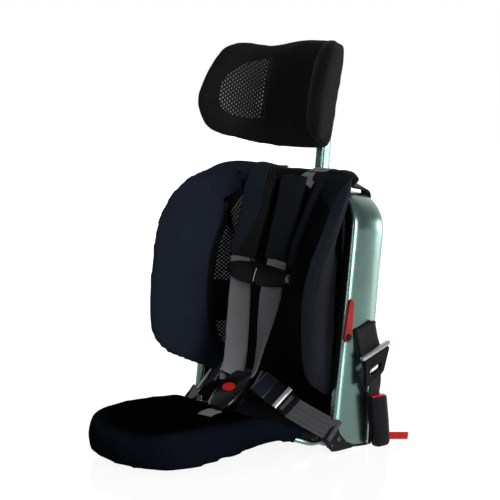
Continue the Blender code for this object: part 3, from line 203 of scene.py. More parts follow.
paper, shader, place, strap = material("pale_floor", (100, 100, 100), 0.16, Specular_IOR_Level=0.12)
feed(shader, "Roughness", place.noise(3.0) * 0.04 + 0.13)
glow = seen_rays(paper.node_tree, 0.9)
feed(shader, "Emission Color", glow.between((0, 0, 0), (255, 255, 255)))
shader.inputs["Emission Strength"].default_value = 0.9
bm = bmesh.new()
bmesh.ops.create_grid(bm, x_segments=8, y_segments=8, size=9.0)
floor = built("studio_floor", bm, paper, smooth=False)

world = bpy.data.worlds.new("studio")
world.use_nodes = True
scene.world = world
surround = world.node_tree.nodes["Background"]
surround.inputs["Color"].default_value = (1.0, 1.0, 1.0, 1.0)
heading = Signal(world.node_tree, world.node_tree.nodes.new("ShaderNodeTexCoord").outputs["Generated"])
bright_way = (-0.73, 0.683, 0.0)
towards = heading.node("ShaderNodeVectorMath", "Value", {0: heading, 1: bright_way}, operation="DOT_PRODUCT")
feed(surround, "Strength", seen_rays(world.node_tree, towards.smooth(0.2, 0.85) * 0.88 + 0.12) * 0.8 + 0.2)


def lamp(name, place, towards, size, power):
    light = bpy.data.lights.new(name, "AREA")
    light.shape = "RECTANGLE"
    light.size, light.size_y = size
    light.energy = power
    made = bpy.data.objects.new(name, light)
    aim = (Vector(towards) - Vector(place)).to_track_quat("-Z", "Y")
    made.matrix_world = Matrix.Translation(place) @ aim.to_matrix().to_4x4()
    scene.collection.objects.link(made)


lamp("side_box", (2.5, -0.75, 0.8), (0, 0.0, 0.35), (0.8, 1.5), 58)
lamp("rear_box", (0.75, 2.3, 0.36), (0.15, 0.0, 0.3), (0.8, 0.66), 13)
lamp("front_box", (0.2, -2.8, 1.0), (0, 0, 0.3), (1.2, 1.0), 8)
lamp("top_box", (-0.5, 0.5, 2.4), (0, 0.0, 0.4), (1.0, 1.0), 9)


# The hoop, the seat tube and their braces: green anodised aluminium with a satin sheen, whose grain runs up
# the legs. The bends are smooth, and the smaller parts have the slightly round edges that tumbling leaves.
def only(kind, geometry):
    return [item for item in geometry if isinstance(item, kind)]


def thickened(bm, move):
    """Extrudes a flat sheet by this move into a plate."""
    grown = bmesh.ops.extrude_face_region(bm, geom=bm.faces[:])["geom"]
    bmesh.ops.translate(bm, verts=only(bmesh.types.BMVert, grown), vec=move)


def rounded(bm, edges, offset, segments=2, clamp=True):
    """Rounds these edges."""
    bmesh.ops.bevel(
        bm, geom=edges, offset=offset, offset_type="OFFSET", affect="EDGES", segments=segments, profile=0.5,
        material=-1, clamp_overlap=clamp,
    )


def outwards(bm):
    bmesh.ops.recalc_face_normals(bm, faces=bm.faces)


def turning(bm, angle):
    """The edges whose two faces turn by more than this, in radians."""
    return [item for item in bm.edges if item.calc_face_angle(0.0) > angle]


def settled(obj):
    """Applies every modifier of a piece."""
    graph = bpy.context.evaluated_depsgraph_get()
    mesh = bpy.data.meshes.new_from_object(obj.evaluated_get(graph))
    obj.modifiers.clear()
    obj.data = mesh
    return obj


def placed(obj, body, slot, *replaced):
    """Puts a piece on its body and in the place of its nodes, which it hides. The slot is not used."""
    if replaced:
        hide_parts(*replaced)
    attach(obj, body)
    return obj


def finished(name, node, body, slot, look, edge=0.0006, turn=34, swell=0.0):
    """A rigid node's shape with smooth bends and broken edges."""
    bm = bmesh.new()
    bm.from_mesh(nodes[node].data)
    bmesh.ops.remove_doubles(bm, verts=bm.verts, dist=1e-6)
    bmesh.ops.dissolve_limit(bm, angle_limit=math.radians(0.5), verts=bm.verts, edges=bm.edges)
    if edge:
        rounded(bm, turning(bm, math.radians(turn)), edge)
    for item in bm.edges:
        item.smooth = item.calc_face_angle(0.0) < math.radians(turn + 14)
    bm.normal_update()
    for vertex, normal in [(item, item.normal.copy()) for item in bm.verts] if swell else ():
        vertex.co += normal * swell
    made = built(name, bm, look)
    even = made.modifiers.new("even", "WEIGHTED_NORMAL")
    even.keep_sharp = True
    even.weight = 80
    return placed(settled(made), body, slot, node)


def anodised_metal(name, crowned=False, tilt=0.0):
    """The green finish. On the hoop each face is crowned and has a rounder front edge."""
    green = (96, 126, 117)
    made, shader, place, strap = material(name, green, 0.26, 1.0, Coat_Weight=0.5, Coat_Roughness=0.16)
    grain = place.scaled((1.0, 1.0, 0.04)).noise(1500.0, 3.0)
    marks = place.noise(24.0, 3.0, 0.5)
    feed(shader, "Base Color", marks.smooth(0.3, 0.75).between((93, 122, 114), (99, 129, 120)))
    feed(shader, "Roughness", grain * 0.06 + marks * 0.05 + 0.21)
    height = grain * 0.000005
    if crowned:
        leg_lean, leg_foot = 0.1277, 0.061
        y, z = place.axis("Y"), place.axis("Z")
        behind = y - z * leg_lean + leg_foot
        rear = (behind - 0.018).math("MAXIMUM", 0.0)
        front_round = (behind * -83.0).math("EXPONENT") * 0.009
        height = height - front_round - rear * rear * z.smooth(0.06, 0.2) * 1.5
    if tilt:
        height = height - place.axis("Y") * tilt
    bump(shader, height, 1.0)
    return made


anodised = anodised_metal("anodised_green")
hoop_metal = anodised_metal("anodised_green_hoop", crowned=True)
post_metal = anodised_metal("anodised_green_post", tilt=0.27)
green_slot = "green_anodised_aluminium"
finished("hoop_tube", "frame_hoop", "frame", green_slot, hoop_metal, 0.0, turn=58)
finished("rear_strut", "rear_brace", "frame", green_slot, anodised)
finished("seat_tube", "seat_loop", "seat", green_slot, anodised, 0.0)
finished("head_post", "headrest_post", "headrest", green_slot, post_metal)
sides = (("left", -1), ("right", 1))
for side, sign in sides:
    finished(f"foot_block_{side}", f"foot_{side}", "frame", green_slot, anodised)


# Moulded black plastic: the guide, crossbar, headrest shell, seat pan, buckle and connectors. It has fine
# spark-eroded grain, and is glossier where hands rub it.
def moulded(name, dark, light, low, high, grain_scale, **sockets):
    made, shader, place, strap = material(name, dark, 0.4, **sockets)
    worn = place.noise(26.0, 3.0)
    feed(shader, "Base Color", worn.smooth(0.3, 0.8).between(dark, light))
    feed(shader, "Roughness", worn * (high - low) + low)
    bump(shader, place.cells(grain_scale), 0.00004, 0.5)
    return made


plastic = moulded("moulded_black", (8, 8, 10), (14, 14, 17), 0.26, 0.46, 1500.0, Specular_IOR_Level=0.09)
gloss_black = moulded("glossy_black", (4, 4, 6), (8, 8, 10), 0.14, 0.3, 900.0, Specular_IOR_Level=0.2)
clip_black = moulded("clip_black", (5, 5, 6), (9, 9, 10), 0.16, 0.3, 900.0, Specular_IOR_Level=0.04)
red = moulded("moulded_red", (182, 26, 20), (200, 36, 28), 0.2, 0.4, 1300.0, Specular_IOR_Level=0.15)
lever_red = moulded("lever_red", (132, 12, 12), (158, 20, 18), 0.26, 0.42, 900.0, Specular_IOR_Level=0.35)
for name, node, body, edge in (
    ("channel_guide", "post_guide", "frame", 0.0008),
    ("cross_block", "base_crossbar", "frame", 0.0008),
    ("head_shell", "headrest_shell", "headrest", 0.0),
    ("height_press", "height_button", "height_button", 0.0008),
    ("pan_tray", "seat_pan", "seat", 0.0004),
):
    finished(name, node, body, "black_plastic", plastic, edge)


# Brackets, bolts and pins: stamped steel under a black powder coat with a little orange peel, and the
# bright pins on which the seat folds. The red levers turn on their own bolts.
steel, shader, place, strap = material("powder_black", (10, 10, 12), 0.36, Specular_IOR_Level=0.12)
feed(shader, "Roughness", place.noise(30.0) * 0.2 + 0.26)
feed(shader, "Base Color", place.noise(80.0, 3.0).smooth(0.35, 0.7).between((8, 8, 10), (17, 17, 19)))
bump(shader, place.cells(700.0, "SMOOTH_F1"), 0.00008, 0.4)
bright, shader, place, strap = material("satin_metal", (150, 152, 155), 0.4, 1.0)
brushed = place.scaled((0.06, 1.0, 1.0)).noise(1600.0, 2.0)
feed(shader, "Roughness", brushed * 0.14 + 0.36)
feed(shader, "Base Color", place.noise(50.0, 3.0).smooth(0.3, 0.7).between((172, 174, 177), (190, 192, 195)))
bump(shader, brushed, 0.00004, 0.5)
dull, shader, place, strap = material("dull_steel", (74, 76, 80), 0.5, 1.0)
feed(shader, "Roughness", place.noise(60.0, 3.0) * 0.2 + 0.38)
feed(shader, "Base Color", place.noise(40.0, 3.0).smooth(0.3, 0.7).between((66, 68, 72), (84, 86, 90)))
bump(shader, place.noise(1500.0, 2.0), 0.00003, 0.5)


def plate(name, outline, window, place, thickness, look):
    """A flat part drawn as an outline of (y, z), with a window through it, standing at x = place."""
    bm = bmesh.new()
    loops = []
    for ring in (outline, window):
        if ring:
            corners = [bm.verts.new((place, y, z)) for y, z in ring]
            loops += [bm.edges.new((corners[index - 1], corners[index])) for index in range(len(corners))]
    if window:
        bmesh.ops.bridge_loops(bm, edges=loops)
    else:
        bmesh.ops.contextual_create(bm, geom=loops)
    thickened(bm, (math.copysign(thickness, place), 0, 0))
    outwards(bm)
    rounded(bm, turning(bm, 1.2), min(thickness * 0.3, 0.0012))
    return built(name, bm, look, smooth=False)


hip_outline = (
    (-0.083, 0.0275), (-0.0735, 0.0165), (-0.062, 0.0065), (-0.05, 0.0052), (-0.016, 0.0052), (-0.0125, 0.01),
    (-0.03, 0.018), (-0.044, 0.033), (-0.049, 0.045), (-0.0545, 0.048), (-0.064, 0.045),
)
leg_face = 0.1722
for side, sign in sides:
    piece = plate(f"hip_plate_{side}", hip_outline, None, sign * leg_face, 0.003, steel)
    placed(piece, "frame", "black_steel", f"hip_bracket_{side}")
    finished(f"lever_screw_{side}", f"lever_bolt_{side}", "frame", "black_steel", steel, 0.0003)
    finished(f"fold_pin_{side}", f"seat_pivot_pin_{side}", "frame", "bright_metal", bright, 0.0004)
    lever = f"release_lever_{side}"
    finished(f"hoop_lever_{side}", lever, lever, "red_plastic", lever_red, 0.0012)


# Fabrics. The headrest wears a coarse black diamond knit, the wings and pads a fine navy jersey, and the
# back a plain black knit with windows of open net. The loops are waves in the piece's own place, so they
# keep their size on every piece.
def knit_loops(place, pitch):
    """The raised loops of a knit: two slanting sets of rows and one of depth, from 0 to 1."""
    x, y, z = place.axes()
    slant = x * 0.72 - y * 0.69
    depth = (x * 0.69 + y * 0.72 + z * 0.25).wave(pitch)
    return (slant + z).wave(pitch) * (slant - z).wave(pitch) * 0.8 + depth * 0.2


def net_holes(across, upwards, wide, high, closed=0.1, clear=0.62):
    """The light seen through an open net: diamonds in a lattice."""
    return (across.ripple(wide) * upwards.ripple(high)).smooth(closed, clear)


def cloth(
    name, tones, pitch, height, black=None, border=None, net=None, painted_shade=None,
    mottle=26.0, sheen=0.12, gloss=0.1,
):
    """A knit in two close tones. Past border it is the black knit, and where painted_shade is given both are
    darkened with painted shade. In net it is open net, with the pale light behind it painted into its holes.
    """
    made, shader, place, strap = material(
        name, tones[0], 0.85, Sheen_Weight=sheen, Sheen_Roughness=0.45, Specular_IOR_Level=gloss
    )
    shader.inputs["Sheen Tint"].default_value = colour(tones[1])
    loops = knit_loops(place, pitch)
    fibres = place.noise(2600.0, 2.0)
    patches = place.noise(mottle, 4.0, 0.6)
    base = (loops * 0.5 + patches * 0.4 + fibres * 0.2).smooth(0.15, 0.85).between(*tones)
    height_map = loops * 0.7 + fibres * 0.3
    if border:
        past, line = border(place)
        coarse = knit_loops(place, 0.0042)
        base = past.between(base, (coarse * 0.7 + patches * 0.3).smooth(0.2, 0.9).between(*black))
        if painted_shade:
            # painted shade: the knit is darkened towards (6, 8, 11) where the mask is high
            base = (painted_shade(place) * 0.75).between(base, (6, 8, 11))
        height_map = height_map * (1.0 - past) + coarse * past * 1.4 - line * 2.2
    if net:
        window, holes = net(place)
        shown = window * holes
        # painted light: the pale backdrop seen through the net is painted into the holes, which are not
        # see-through
        base = shown.between(base, (172, 173, 174))
        height_map = height_map - shown * 2.0
    feed(shader, "Base Color", base)
    feed(shader, "Roughness", fibres * 0.14 + 0.78)
    bump(shader, height_map, height, 0.8)
    return made


NAVY = ((19, 25, 36), (30, 38, 52))
BLACK = ((5, 5, 7), (15, 15, 17))


net_top = (0.398, 0.396)
net_mesh = (0.008, 0.0066)
wing_middle = 0.225
inner_bend, inner_front = 1.8, 0.057
outer_bend, outer_front = 1.7, 0.08
net_bend, net_front = 1.72, 0.0457


def from_widest(z):
    """The square of the height from a wing's widest place, for the curves of its seams."""
    rise = z - wing_middle
    return rise * rise


def wing_border(place):
    """Where the navy of a wing ends: behind a curve on its inner face and behind a straighter one outside."""
    x, y, z = place.axes()
    outside = (place.facing().axis("X") * x).smooth(-0.002, 0.002)
    square = from_widest(z)
    inner = y - (square * inner_bend - inner_front)
    outer = y - (square * outer_bend - outer_front)
    ahead = inner * (1.0 - outside) + outer * outside
    return ahead.smooth(-0.0006, 0.0006), abs(ahead).smooth(0.0016, 0.0)


def wing_outside_shade(place):
    """1 on the outer faces of the wings and 0 on the inner ones: the mask of the painted shade that darkens
    the jersey outside.
    """
    return (place.facing().axis("X") * place.axis("X")).smooth(0.03, 0.12)


def wing_net(place):
    """The net windows at the root of a wing: a tall one and a small one below it."""
    x, y, z = place.axes()
    inside = (place.facing().axis("X") * x).smooth(0.0, -0.004)
    behind = (y - (from_widest(z) * net_bend - net_front)).smooth(0.0, 0.0012)
    tall = (z + y * 0.12).smooth(0.2435, 0.2445) * z.smooth(*net_top)
    short = (z + y * 1.5).smooth(0.0955, 0.0965) * z.smooth(0.1755, 0.1745)
    window = inside * behind * (tall + short).math("MINIMUM", 1.0)
    return window, net_holes(abs(x) * 0.62 - y * 0.79, z, *net_mesh)


def back_net(place):
    """The same tall windows where they run on across the slung back. The light through the net is painted on
    the left side only; on the right the window stays dark knit, painted shade.
    """
    x, y, z = place.axes()
    ahead = abs(x) - 0.13 + (z - 0.3615).math("MAXIMUM", 0.0) * 1.05
    lit_left_strip = x.smooth(-0.0805, -0.0815) * ahead.smooth(0.001, 0.0)
    window = lit_left_strip * z.smooth(0.2425, 0.2435) * z.smooth(*net_top)
    return window, net_holes(abs(x), z, *net_mesh)


def seat_border(place):
    """The seat's middle is black knit, sewn into the navy rim."""
    half_width, half_length, middle = 0.112, 0.132, -0.212
    across = (abs(place.axis("X")) / half_width).math("POWER", 3.0)
    along = (abs(place.axis("Y") - middle) / half_length).math("POWER", 3.0)
    inside = 1.0 - (across + along)
    top = place.facing().axis("Z").smooth(0.3, 0.6)
    return inside.smooth(-0.25, 0.35) * top, abs(inside).smooth(0.05, 0.0) * top


navy_jersey = cloth("navy_jersey", NAVY, 0.0017, 0.0003)
# The same navy jersey made darker, as painted shade, for the right corner web and the right shoulder pad.
shaded_navy_jersey = cloth("shaded_navy_jersey", ((11, 14, 20), (18, 22, 30)), 0.0017, 0.0003)
wing_cloth = cloth("wing_cloth", NAVY, 0.0017, 0.0004, BLACK, wing_border, wing_net, wing_outside_shade)
black_knit = cloth("black_knit_plain", BLACK, 0.0026, 0.0004, net=back_net)
lining_knit = cloth("lining_knit", ((6, 7, 9), (12, 13, 17)), 0.0022, 0.0003)
# The seat's broad mottle (mottle=9.0) is partly uneven tone and partly painted sheen along its folds.
seat_jersey = cloth(
    "seat_jersey", ((8, 10, 15), (18, 23, 32)), 0.0019, 0.0003, ((3, 3, 4), (10, 10, 10)), seat_border,
    mottle=9.0, sheen=0.0, gloss=0.0,
)
piping_knit = cloth("piping_knit", ((14, 19, 29), (24, 31, 43)), 0.0012, 0.0002)


# Soft pieces start from the room that their solid takes: a slightly smaller copy is remeshed and stuffed as
# cloth, and each point stays within a few millimetres of where it began. Slow waves leave it hand-made.
def with_normals(obj):
    """Each point of a piece with its normal, taken before any point moves."""
    return zip(obj.data.vertices, [Vector(item.vector) for item in obj.data.vertex_normals])


def smoothed(obj, times):
    """Evens out a piece, together with the modifiers that it has so far."""
    even = obj.modifiers.new("smoothed", "SMOOTH")
    even.factor = 0.5
    even.iterations = times
    settled(obj)


def held(value, start, reach):
    """How far a value is past start, as a share of this reach between 0 and 1."""
    return min(max((value - start) / reach, 0.0), 1.0)


def soft(share):
    """The same share with soft ends."""
    return share * share * (3 - 2 * share)


def stuffed(name, source, look, voxel=0.005, shrink=0.0015, cap=0.003, pressure=4.0, waves=0.0006, soften=6):
    obj = link(name, source.copy(), look)
    even = obj.modifiers.new("even", "REMESH")
    even.mode = "VOXEL"
    even.voxel_size = voxel
    smoothed(obj, soften)
    for vertex, normal in with_normals(obj):
        vertex.co -= normal * shrink
    start = [vertex.co.copy() for vertex in obj.data.vertices]
    cloth_maker = obj.modifiers.new("stuffing", "CLOTH")
    settings = cloth_maker.settings
    settings.quality = 4
    settings.mass = 0.3
    settings.tension_stiffness = 12
    settings.compression_stiffness = 12
    settings.bending_stiffness = 0.4
    settings.use_pressure = True
    settings.uniform_pressure_force = pressure
    settings.effector_weights.gravity = 0.0
    cloth_maker.point_cache.frame_start = 1
    cloth_maker.point_cache.frame_end = 20
    for number in range(cloth_maker.point_cache.frame_start, cloth_maker.point_cache.frame_end + 1):
        scene.frame_set(number)
    settled(obj)
    scene.frame_set(1)
    for vertex, rest in zip(obj.data.vertices, start):
        move = vertex.co - rest
        if move.length > cap:
            vertex.co = rest + move.normalized() * cap
    smoothed(obj, 3)
    finer = obj.modifiers.new("finer", "SUBSURF")
    finer.levels = 1
    finer.render_levels = 1
    settled(obj)
    for vertex, normal in with_normals(obj):
        slow = noise.noise(vertex.co * 28.0) + 0.5 * noise.noise(vertex.co * 61.0)
        vertex.co += normal * (slow * waves)
    for face in obj.data.polygons:
        face.use_smooth = True
    return obj


def creased(obj, path, depth, width):
    """Draws a sewn line into a soft piece along points near its face."""
    tree = kdtree.KDTree(len(path))
    for index, point in enumerate(path):
        tree.insert(point, index)
    tree.balance()
    for vertex, normal in with_normals(obj):
        near = tree.find(vertex.co)[2]
        if near < width:
            vertex.co -= normal * depth * (1 - near / width) ** 2


def face_points(obj, points, direction):
    """The points where rays in one direction meet a piece."""
    mesh = obj.data
    tree = BVHTree.FromPolygons([v.co for v in mesh.vertices], [tuple(f.vertices) for f in mesh.polygons])
    found = []
    for point in points:
        place = tree.ray_cast(Vector(point) - Vector(direction) * 0.5, Vector(direction))[0]
        if place is not None:
            found.append(place)
    return found


def curve_through(points, steps=6):
    """A smooth curve through chosen points."""
    points = [Vector(point) for point in points]
    last = len(points) - 1
    curve = []
    for span in range(last):
        before, start, end, after = [points[min(max(span + shift, 0), last)] for shift in (-1, 0, 1, 2)]
        for step in range(steps):
            t = step / steps
            square = (2 * before - 5 * start + 4 * end - after) * t * t
            cubic = (3 * start - before - 3 * end + after) * t * t * t
            curve.append(0.5 * (2 * start + (end - before) * t + square + cubic))
    return curve + [points[last]]


def oval(width, thickness, power=2.0, count=24):
    """A section from round, at power 2, to nearly square."""
    ring = []
    for step in range(count):
        angle = 2 * math.pi * step / count
        flat, tall = math.cos(angle), math.sin(angle)
        ring.append((
            width / 2 * math.copysign(abs(flat) ** (2 / power), flat),
            thickness / 2 * math.copysign(abs(tall) ** (2 / power), tall),
        ))
    return ring


def drawn(name, points, across, section, look, size=None):
    """A section drawn along a path. Its width and length become the strap coordinates, in metres."""
    travelled = [0.0]
    for first, second in zip(points, points[1:]):
        travelled.append(travelled[-1] + (second - first).length)
    bm = bmesh.new()
    wide, tall, run = [bm.verts.layers.float.new(word) for word in ("wide", "tall", "run")]
    ring = []
    for a, b in section:
        vertex = bm.verts.new((0, 0, 0))
        vertex[wide], vertex[tall] = a, b
        ring.append(vertex)
    edges = [bm.edges.new((ring[index], ring[index - 1])) for index in range(len(ring))]
    first_edges = list(edges)
    for index, point in enumerate(points):
        if index:
            grown = bmesh.ops.extrude_edge_only(bm, edges=edges)["geom"]
            ring = only(bmesh.types.BMVert, grown)
            edges = only(bmesh.types.BMEdge, grown)
        share = travelled[index] / travelled[-1]
        along = (points[min(index + 1, len(points) - 1)] - points[max(index - 1, 0)]).normalized()
        side = Vector(across(share) if callable(across) else across)
        side = (side - along * side.dot(along)).normalized()
        out = along.cross(side)
        scale_wide, scale_tall = size(share) if size else (1.0, 1.0)
        for vertex in ring:
            vertex.co = point + side * (vertex[wide] * scale_wide) + out * (vertex[tall] * scale_tall)
            vertex[run] = travelled[index]
    for ends in (first_edges, edges):
        bmesh.ops.contextual_create(bm, geom=ends)
    outwards(bm)
    strap_place = bm.loops.layers.uv.new("UVMap")
    for face in bm.faces:
        face.smooth = len(face.verts) == 4
        for loop in face.loops:
            loop[strap_place].uv = (loop.vert[wide], loop.vert[run])
    return built(name, bm, look, smooth=False)


# The back: a slung panel of black knit, thin and firm, hollowed for the child's back. A flap closes the gap
# down to the seat, and a lining hides the inside of each leg.
back = stuffed(
    "back_sling", nodes["back_panel"].data, black_knit,
    voxel=0.004, shrink=0.0004, cap=0.0008, pressure=1.0, waves=0.0004, soften=4,
)
placed(back, "frame", "black_knit", "back_panel")

flap_line = (
    (0.0, 0.034, 0.026), (0.0, 0.016, 0.036), (0.0, -0.01, 0.045), (0.0, -0.03, 0.046),
    (0.0, -0.033, 0.034), (0.0, -0.033, 0.016),
)
flap = drawn(
    "seat_flap", curve_through(flap_line, 5), (1, 0, 0), oval(0.216, 0.0024, 6.0, 48), lining_knit,
    lambda share: (1.0 - 0.06 * share, 1.0),
)
placed(flap, "frame", "black_knit")

lining_face, bend_centre, bend_radius = 0.1522, 0.1075, 0.0447
fold_places = (
    (-0.014, 0.384), (-0.015, 0.362), (-0.016, 0.338), (-0.0186, 0.274), (-0.0225, 0.226), (-0.028, 0.18)
)
for side, sign in sides:
    bm = bmesh.new()
    bmesh.ops.create_grid(bm, x_segments=10, y_segments=24, size=0.5)
    for vertex in bm.verts:
        share, height = vertex.co.x + 0.5, 0.03 + (vertex.co.y + 0.5) * 0.362
        ahead = -0.052 + 0.105 * height
        vertex.co = Vector((lining_face, ahead + share * (0.082 - 0.03 * (height / 0.4) ** 6), height))
        bend = height - 0.105 * (vertex.co.y - 0.02) - 0.352
        if bend > 0:
            vertex.co.x = bend_centre + math.sqrt(max(bend_radius**2 - bend**2, 0.0))
        vertex.co.x = sign * (vertex.co.x + 0.0004 * noise.noise(vertex.co * 50.0))
    bmesh.ops.solidify(bm, geom=bm.faces, thickness=0.0014)
    outwards(bm)
    placed(built(f"leg_lining_{side}", bm, lining_knit), "frame", "black_knit")
    fold = curve_through([(sign * 0.15, y, z) for y, z in fold_places], 6)
    piping = drawn(f"lining_piping_{side}", fold, (1, 0, 0), oval(0.0036, 0.0036, 2.0, 12), piping_knit)
    placed(piping, "frame", "black_knit")


# The top roll: the padded upper edge of the cover, in lining knit. It dips between the corners and draws
# to a point at each.
roll = stuffed(
    "top_roll", nodes["back_hood"].data, lining_knit, voxel=0.004, cap=0.0025, pressure=3.0, waves=0.0008
)
roll_foot, corner_start = 0.414, 0.118
for vertex in roll.data.vertices:
    keep = 0.74 + 0.16 * soft(held(abs(vertex.co.x), 0.055, 0.075))
    vertex.co.z = roll_foot + (vertex.co.z - roll_foot) * keep
    past = abs(vertex.co.x) - corner_start
    if past > 0:
        vertex.co.x = math.copysign(corner_start + past * 1.5, vertex.co.x)
        vertex.co.y += (0.016 - vertex.co.y) * min(past / 0.02, 1.0) * 0.6
        vertex.co.z += (0.4385 - vertex.co.z) * min(past / 0.03, 1.0) * 0.72
placed(roll, "frame", "black_knit", "back_hood")


# Side wings: padded shells at each side of the back. Their inner face and rim are navy jersey, sewn behind
# a curve to black knit with net windows, and their outer faces are darkened with painted shade. A stretch
# web joins each wing to the top roll.
rim_line = (
    (-0.066, 0.425), (-0.074, 0.408), (-0.089, 0.38), (-0.1034, 0.361), (-0.113, 0.32), (-0.119, 0.278),
    (-0.1237, 0.243), (-0.122, 0.2), (-0.1145, 0.165), (-0.1056, 0.141), (-0.09, 0.115), (-0.07, 0.096),
)
web_rows = {-1: (
    ((-0.064, 0.002, 0.45), (-0.112, -0.002, 0.4515), (-0.148, -0.013, 0.4452), (-0.174, -0.035, 0.43)),
    ((-0.066, -0.01, 0.438), (-0.115, -0.01, 0.436), (-0.151, -0.02, 0.431), (-0.181, -0.039, 0.419)),
    ((-0.074, -0.011, 0.427), (-0.106, -0.0125, 0.409), (-0.134, -0.0215, 0.404), (-0.17, -0.043, 0.4)),
    ((-0.092, -0.0115, 0.4165), (-0.1135, -0.012, 0.3975), (-0.13, -0.023, 0.386), (-0.15, -0.039, 0.384)),
), 1: (
    ((-0.08, -0.004, 0.44), (-0.122, -0.002, 0.4395), (-0.148, 0.003, 0.441), (-0.161, -0.002, 0.442)),
    ((-0.081, -0.0125, 0.431), (-0.122, -0.01, 0.429), (-0.152, -0.014, 0.427), (-0.168, -0.02, 0.429)),
    ((-0.086, -0.0125, 0.42), (-0.11, -0.0125, 0.406), (-0.137, -0.023, 0.402), (-0.17, -0.042, 0.404)),
    ((-0.092, -0.0115, 0.4145), (-0.1135, -0.012, 0.3965), (-0.13, -0.024, 0.386), (-0.156, -0.043, 0.386)),
)}
for side, sign in sides:
    form = nodes[f"side_wing_{side}"].data
    wing = stuffed(f"padded_wing_{side}", form, wing_cloth, shrink=0.0012, pressure=3.0)
    seam = face_points(wing, curve_through([(sign * 0.15, y, z) for y, z in rim_line], 6), (-sign, 0, 0))
    creased(wing, seam, 0.0016, 0.0034)
    placed(wing, "frame", "navy_fabric", f"side_wing_{side}")
    columns = [curve_through([row[index] for row in web_rows[sign]], 5) for index in range(4)]
    bm = bmesh.new()
    edges = []
    for across_points in zip(*columns):
        line = curve_through(across_points, 5)
        if not edges:
            ring = [bm.verts.new(point) for point in line]
            edges = [bm.edges.new(pair) for pair in zip(ring, ring[1:])]
            continue
        grown = bmesh.ops.extrude_edge_only(bm, edges=edges)["geom"]
        edges = only(bmesh.types.BMEdge, grown)
        fresh = sorted(only(bmesh.types.BMVert, grown), key=lambda vertex: -vertex.co.x)
        for vertex, point in zip(fresh, line):
            vertex.co = point
    bmesh.ops.solidify(bm, geom=bm.faces, thickness=0.003)
    for vertex in bm.verts:
        vertex.co.x *= -sign
    outwards(bm)
    # The right web takes the navy jersey darkened with painted shade.
    web = built(f"corner_web_{side}", bm, navy_jersey if sign < 0 else shaded_navy_jersey)
    placed(web, "frame", "navy_fabric")


# Cover ties: short black bands of woven polyester from the corners of the top roll. They run over the hoop
# and hold the cover to it.
def webbing(name, dark, light, width, stitches):
    """Woven polyester: herringbone ribs along the band, firm edges and rows of stitches."""
    made, shader, place, strap = material(
        name, dark, 0.7, Sheen_Weight=0.12, Sheen_Roughness=0.4, Specular_IOR_Level=0.14
    )
    u, v = strap.axis("X"), strap.axis("Y")
    rib = u.wave(0.0021)
    flip = (u.wave(0.0042) - 0.5).math("SIGN")
    weave = (v + flip * u * 1.1).wave(0.0016)
    edge = abs(u).smooth(width / 2 - 0.0032, width / 2 - 0.0016)
    patches = place.noise(45.0, 4.0)
    shade = weave * 0.34 + rib * 0.22 + patches * 0.4 + edge * 0.14
    base = shade.smooth(0.12, 0.95).between(dark, light)
    height = weave * 0.5 + rib * 0.5 + edge * 0.6
    for offset, pitch in stitches:
        thread = abs(u - offset).smooth(0.001, 0.0004) * v.wave(pitch).smooth(0.35, 0.6)
        base = (thread * 0.75).between(base, [part * 0.5 for part in dark])
        height = height - thread
    feed(shader, "Base Color", base)
    feed(shader, "Roughness", weave * 0.14 + 0.6)
    bump(shader, height, 0.00035, 0.7)
    return made


web_width, web_thickness = 0.038, 0.0018
dark_web = webbing("dark_webbing_weave", (12, 12, 14), (26, 26, 28), web_width, ())


def band_section(width, thickness):
    """A flat band with rounded edges."""
    half, inset = width / 2, min(0.0006, width / 20)
    steps = [-half + inset + (width - 2 * inset) * step / 8 for step in range(9)]
    lower = [(a, -thickness / 2) for a in steps]
    upper = [(a, thickness / 2) for a in reversed(steps)]
    return [(-half, 0.0), *lower, (half, 0.0), *upper]


def sided(points, sign, steps=6):
    """A smooth path on one side, through points given for the right one."""
    return curve_through([(sign * x, y, z) for x, y, z in points], steps)


tie_points = (
    (0.12, 0.03, 0.4225), (0.12, 0.0459, 0.4198), (0.12, 0.0575, 0.4178), (0.12, 0.0665, 0.413),
    (0.12, 0.07, 0.405), (0.12, 0.069, 0.392),
)
for side, sign in sides:
    path = sided(tie_points, sign)
    tie = drawn(f"hood_tie_{side}", path, (sign * 0.93, 0, -0.37), band_section(0.021, 0.0036), dark_web)
    placed(tie, "frame", "black_knit", f"cover_loop_{side}")


# Shoulder straps: grey webbing over the top roll, inside the shoulder pads, and on down to the buckle. It
# turns on edge as the two straps come together, and follows the seat where it meets the tongues.
grey_web = webbing("grey_webbing_weave", (98, 98, 100), (122, 122, 125), web_width, ((0.0172, 0.006),))
upper_points = (
    (0.05, 0.044, 0.4425), (0.055, 0.034, 0.4455), (0.06, 0.018, 0.4465), (0.061, 0.002, 0.443),
    (0.058, -0.01, 0.435), (0.052, -0.016, 0.424),
)
lower_points = (
    (0.0447, -0.059, 0.3), (0.041, -0.0618, 0.277), (0.0385, -0.064, 0.258), (0.033, -0.0735, 0.2),
    (0.0275, -0.0835, 0.145), (0.0255, -0.09, 0.12), (0.0245, -0.1, 0.106),
)
web_section = band_section(web_width, web_thickness)
upper_shifts = {-1: 0.008, 1: 0.012}
full_turn = math.radians(50.0)
turns = {
    -1: ((0.0, 0.15), (0.15, 0.25), (0.35, 0.6), (0.6, 0.8), (1.0, 1.0)),
    1: ((0.0, -0.2), (0.15, -0.3), (0.3, -0.45), (0.5, 0.0), (0.7, 0.5), (1.0, 0.9)),
}


def table(rows, at):
    """The value at a place between the rows of (place, value)."""
    for (low, first), (high, second) in zip(rows, rows[1:]):
        if at <= high:
            return first + (second - first) * (at - low) / (high - low)
    return rows[-1][1]


